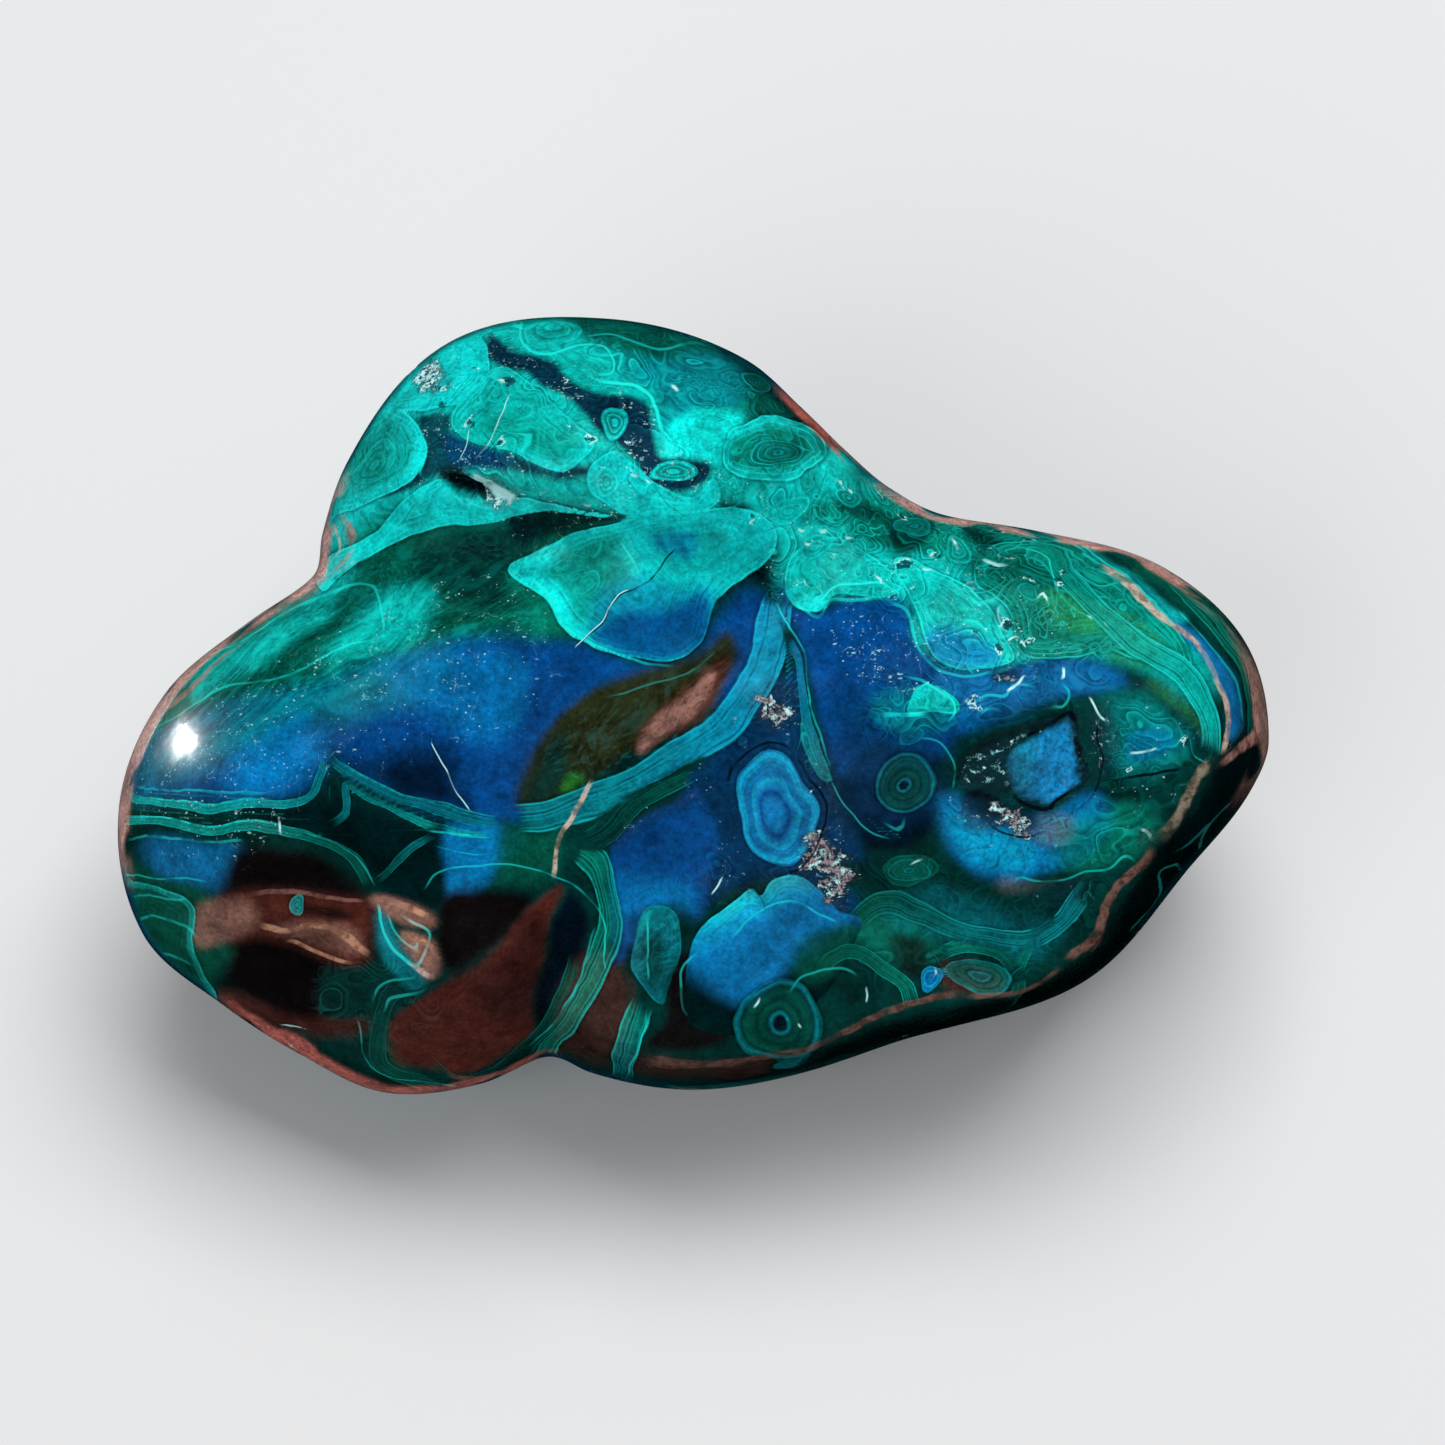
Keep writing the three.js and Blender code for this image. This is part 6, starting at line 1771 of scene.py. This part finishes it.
# Each palette runs from the middle of an eye to its outline.
GREEN_EYE = [(0.0, "sea"), (0.22, "turquoise"), (0.3, "malachite"), (0.46, "sea"), (0.52, "turquoise"),
             (0.6, "malachite"), (0.75, "sea"), (0.86, "turquoise"), (1.0, "sea")]
POOL_EYE = [(0.0, "azure"), (0.3, "azure"), (0.42, "royal"), (0.5, "azure"), (0.62, "sky"), (0.68, "azure"),
            (0.78, "azure"), (0.86, "sky"), (0.95, "sky"), (1.0, "azure")]
DIM_EYE = [(0.0, "ink"), (0.14, "ink"), (0.2, "teal"), (0.28, "forest"), (0.42, "moss"), (0.5, "forest"),
           (0.7, "moss"), (0.84, "forest"), (0.93, "teal"), (1.0, "forest")]
eye_level = maths("ADD", field("eye_out"), line_of(noise(position, 0.25, 1), 0.3, -0.15))


def palette(stops):
    """Colours across an eye, from its middle to its outline."""
    node = tree.nodes.new("ShaderNodeValToRGB")
    elements = node.color_ramp.elements
    for number, (place, name) in enumerate(stops):
        element = elements[number] if number < 2 else elements.new(place)
        element.position = place
        element.color = (*PIGMENTS[name], 1)
    feed(eye_level, node.inputs["Fac"])
    return node.outputs["Color"]


eye_colour = mixed(field("eye_blue"), palette(GREEN_EYE), palette(POOL_EYE))
eye_colour = mixed(field("eye_dim"), eye_colour, palette(DIM_EYE))

# %% Ground, cells, eyes and ribbons
base = mixed(in_cell, field("ground", "Color"), field("inner", "Color"))
base = mixed(in_eye, base, eye_colour)
base = mixed(seams["Inside"], base, field("ribbon_colour", "Color"))
cloud = most(line_of(noise(position, 0.2, 4, 0.7), 2.4, -0.2), 0.25)
coarse = line_of(field("rough"), 1.0, 1.7)  # broken floors are grainier
grit = line_of(less(noise(position, 2.6, 3, 0.7), 0.5), coarse, 1.0)
mottle = line_of(noise(moved(position, 2.5, 0.8), 0.7, 4, 0.7), 1.4, 0.38)
clouded = mixed(1.0, base, times(cloud, grit, mottle), "MULTIPLY")

# %% Light and dark bands
# How strongly each banded effect shows, and where.
BANDED = [(cell_rings, 0.85, 0.8, times(below_eye, field("cells_rings"))),
          (eye_rings, 0.6, 0.6, times(field("eye_cover"), on_top)),
          (lace_rings, 0.75, 0.75, below_eye), (seams, 0.7, 0.75, 1.0), (flowing, 0.45, 0.6, 1.0)]
BAND_SHADE = (0.1, 0.2, 0.28, 1)  # a dark band darkens red most and blue least
light = most(*[times(bands_of["Light"], lightness, where) for bands_of, lightness, _, where in BANDED])
dark = most(*[times(bands_of["Dark"], darkness, where) for bands_of, _, darkness, where in BANDED])
shaded = mixed(times(dark, 0.85), clouded, mixed(1.0, clouded, BAND_SHADE, "MULTIPLY"))
lit = mixed(light, shaded, field("line_tint", "Color"))

# %% Threads and veins
threads = most(single_line("thread"), single_line("close_thread"))
threaded = mixed(threads, lit, mixed(0.3, field("line_tint", "Color"), "glow"))
VEIN_STAIN = (0.45, 0.32, 0.3, 1)  # what is left of each channel in a vein's darker stretches
stained = mixed(1.0, field("vein_colour", "Color"), VEIN_STAIN, "MULTIPLY")
clean = smooth_step(noise(position, 0.6, 3, 0.75), 0.38, 0.56)
vein_cover = times(single_line("vein"), smooth_step(noise(position, 1.1, 4, 0.7), 0.3, 0.5, 0.35, 1.0))
veined = mixed(vein_cover, threaded, mixed(clean, stained, field("vein_colour", "Color")))

# %% Crumbs, pocks, cracks, flakes and specks
# The fewer crumbs there are, the higher in the noise they start. A shadow lies under them.
crumbs = noise(moved(position, 0.8, 0.3), 1.3, 4, 0.75)
crumb_cover = smooth_step(less(crumbs, line_of(field("druse"), -0.42, 0.8)), 0.0, 0.06)
frosty = smooth_step(noise(position, 0.9, 3, 0.7), 0.46, 0.6)
crystals = mixed(frosty, field("crystal_colour", "Color"), "frost")
crystals = mixed(smooth_step(noise(position, 2.4, 3, 0.7), 0.56, 0.4), crystals, "night")
crusted = mixed(crumb_cover, mixed(times(field("druse"), 0.75), veined, "night"), crystals)
# Painted shade in each pock, and a painted highlight on its lip.
pock_light_and_shade = effect(pock_shading, Position=position, Amount=field("pocks"))
crusted = mixed(times(pock_light_and_shade["Dark"], 0.85), crusted, "night")
crusted = mixed(times(pock_light_and_shade["Light"], 0.8), crusted, "frost")
cracked = mixed(single_line("crack"), crusted, "ink")
flaked = mixed(times(single_line("flake"), 0.95), cracked, "frost")
speckles = effect(dots, Position=position, Amount=field("specks"))["Cover"]
speckled = mixed(times(speckles, 0.85), flaked, mixed(0.65, field("line_tint", "Color"), "frost"))
feed(speckled, shader.inputs["Base Color"])

# %% [markdown]
# ### The polish
#
# Hand polish leaves hard malachite bright and soft or broken places duller. So roughness follows a noise and
# the mesh's own rough places, and a thin coat with a wider glow stands for the finest scratches. The relief
# is almost nothing, except on broken floors.

# %% Polish and relief
polish = line_of(smooth_step(noise(position, 0.5, 2, 0.7), 0.45, 0.7), 0.08, 0.1)
feed(line_of(field("rough"), 0.5, polish, clamp=True), shader.inputs["Roughness"])
shader.inputs["IOR"].default_value = 1.6
shader.inputs["Coat Weight"].default_value = 0.3  # the fine scratches of hand polish spread a faint glow
shader.inputs["Coat Roughness"].default_value = 0.3

bump = tree.nodes.new("ShaderNodeBump")
bump.inputs["Strength"].default_value = 0.35
bump.inputs["Distance"].default_value = 0.15 * MM
broken = times(noise(position, 2.2, 3, 0.65), field("rough"))
feed(line_of(broken, 3.0, times(noise(position, 0.35, 1), 0.4)), bump.inputs["Height"])
feed(bump.outputs["Normal"], shader.inputs["Normal"])
mesh.materials.append(material)
print(len(tree.nodes), "nodes in the material")

# %% [markdown]
# ## Camera, floor and light
#
# The camera looks straight at the face, from a little over a third of a metre away. The floor is plain and
# pale. Soft light comes from above and behind, as from a window across a table. A polished stone mirrors its
# surroundings, so the lights are shaped and placed for what they look like in it, and the rest is kept dim.

# %% Camera and floor
camera = bpy.data.objects.new("camera", bpy.data.cameras.new("camera"))
bpy.context.collection.objects.link(camera)
camera.data.lens = 100
camera.data.sensor_width = 36
eye = lean(np.array([[*VIEW_CENTRE, VIEW_HEIGHT]]))[0] + seat
camera.location = eye * MM
camera.rotation_euler = (FACE_LEAN, 0, 0)
bpy.context.scene.camera = camera

FLOOR_HALF = 3.0  # metres
floor_mesh = bpy.data.meshes.new("floor")
corners = [(-FLOOR_HALF, -FLOOR_HALF, 0), (FLOOR_HALF, -FLOOR_HALF, 0), (FLOOR_HALF, FLOOR_HALF, 0),
           (-FLOOR_HALF, FLOOR_HALF, 0)]
floor_mesh.from_pydata(corners, [], [(0, 1, 2, 3)])
floor = bpy.data.objects.new("floor", floor_mesh)
bpy.context.collection.objects.link(floor)
paper = bpy.data.materials.new("floor")
paper.use_nodes = True
paper_shader = paper.node_tree.nodes["Principled BSDF"]
paper_shader.inputs["Base Color"].default_value = (0.8, 0.8, 0.8, 1)
paper_shader.inputs["Roughness"].default_value = 0.9
floor_mesh.materials.append(paper)
floor.location.z = -0.02 * MM  # a hair below the flat base, so that the two never lie in one plane

# %% Lights
# Name, direction from the stone in the face's own axes, distance, width and height in metres, watts.
LIGHTS = [
    ("sky panel", (0.15, 0.75, 0.75), 1.0, (0.8, 0.6), 8.4),
    ("side fill", (-0.5, -0.3, 0.9), 1.2, (0.8, 0.8), 4.4),
]
for name, direction, distance, (width, height), watts in LIGHTS:
    lamp = bpy.data.objects.new(name, bpy.data.lights.new(name, "AREA"))
    lamp.data.shape = "RECTANGLE"
    lamp.data.size = width
    lamp.data.size_y = height
    lamp.data.energy = watts
    lamp.visible_glossy = False
    towards = lean(np.array([direction]))[0]
    towards /= np.linalg.norm(towards)
    lamp.location = towards * distance + np.array([0, 0, 0.03])
    lamp.rotation_euler = Vector(-towards).to_track_quat("-Z", "Y").to_euler()
    bpy.context.collection.objects.link(lamp)

# The nose of the left lobe mirrors a small window. The lamp stands close by, where its reflection reaches the
# eye, and lights nothing else.
nose = np.hypot(*(at - (-47.6, 0.0)).T).argmin()
outwards = lean(normals[nose:nose + 1])[0]
spot_at = (leaning[nose] + seat) * MM
to_eye = eye * MM - spot_at
to_eye /= np.linalg.norm(to_eye)
towards = 2 * (outwards @ to_eye) * outwards - to_eye
window = bpy.data.objects.new("window", bpy.data.lights.new("window", "SPOT"))
window.data.shadow_soft_size = 0.004
window.data.energy = 0.2
window.data.spot_size = np.radians(12)
window.data.spot_blend = 0.5
window.visible_diffuse = False
window.visible_camera = False
window.location = Vector(spot_at + towards * 0.08)
window.rotation_euler = Vector(-towards).to_track_quat("-Z", "Y").to_euler()
bpy.context.collection.objects.link(window)
print("the window stands", round(window.location.z * 1000), "mm high, towards", np.round(towards, 2))
floor.visible_glossy = False

world = bpy.data.worlds.new("room")
bpy.context.scene.world = world
world.use_nodes = True
world.node_tree.nodes["Background"].inputs["Color"].default_value = (0.55, 0.57, 0.6, 1)
world.node_tree.nodes["Background"].inputs["Strength"].default_value = 0.4
world.cycles_visibility.glossy = False
bpy.context.scene.view_settings.view_transform = "Standard"
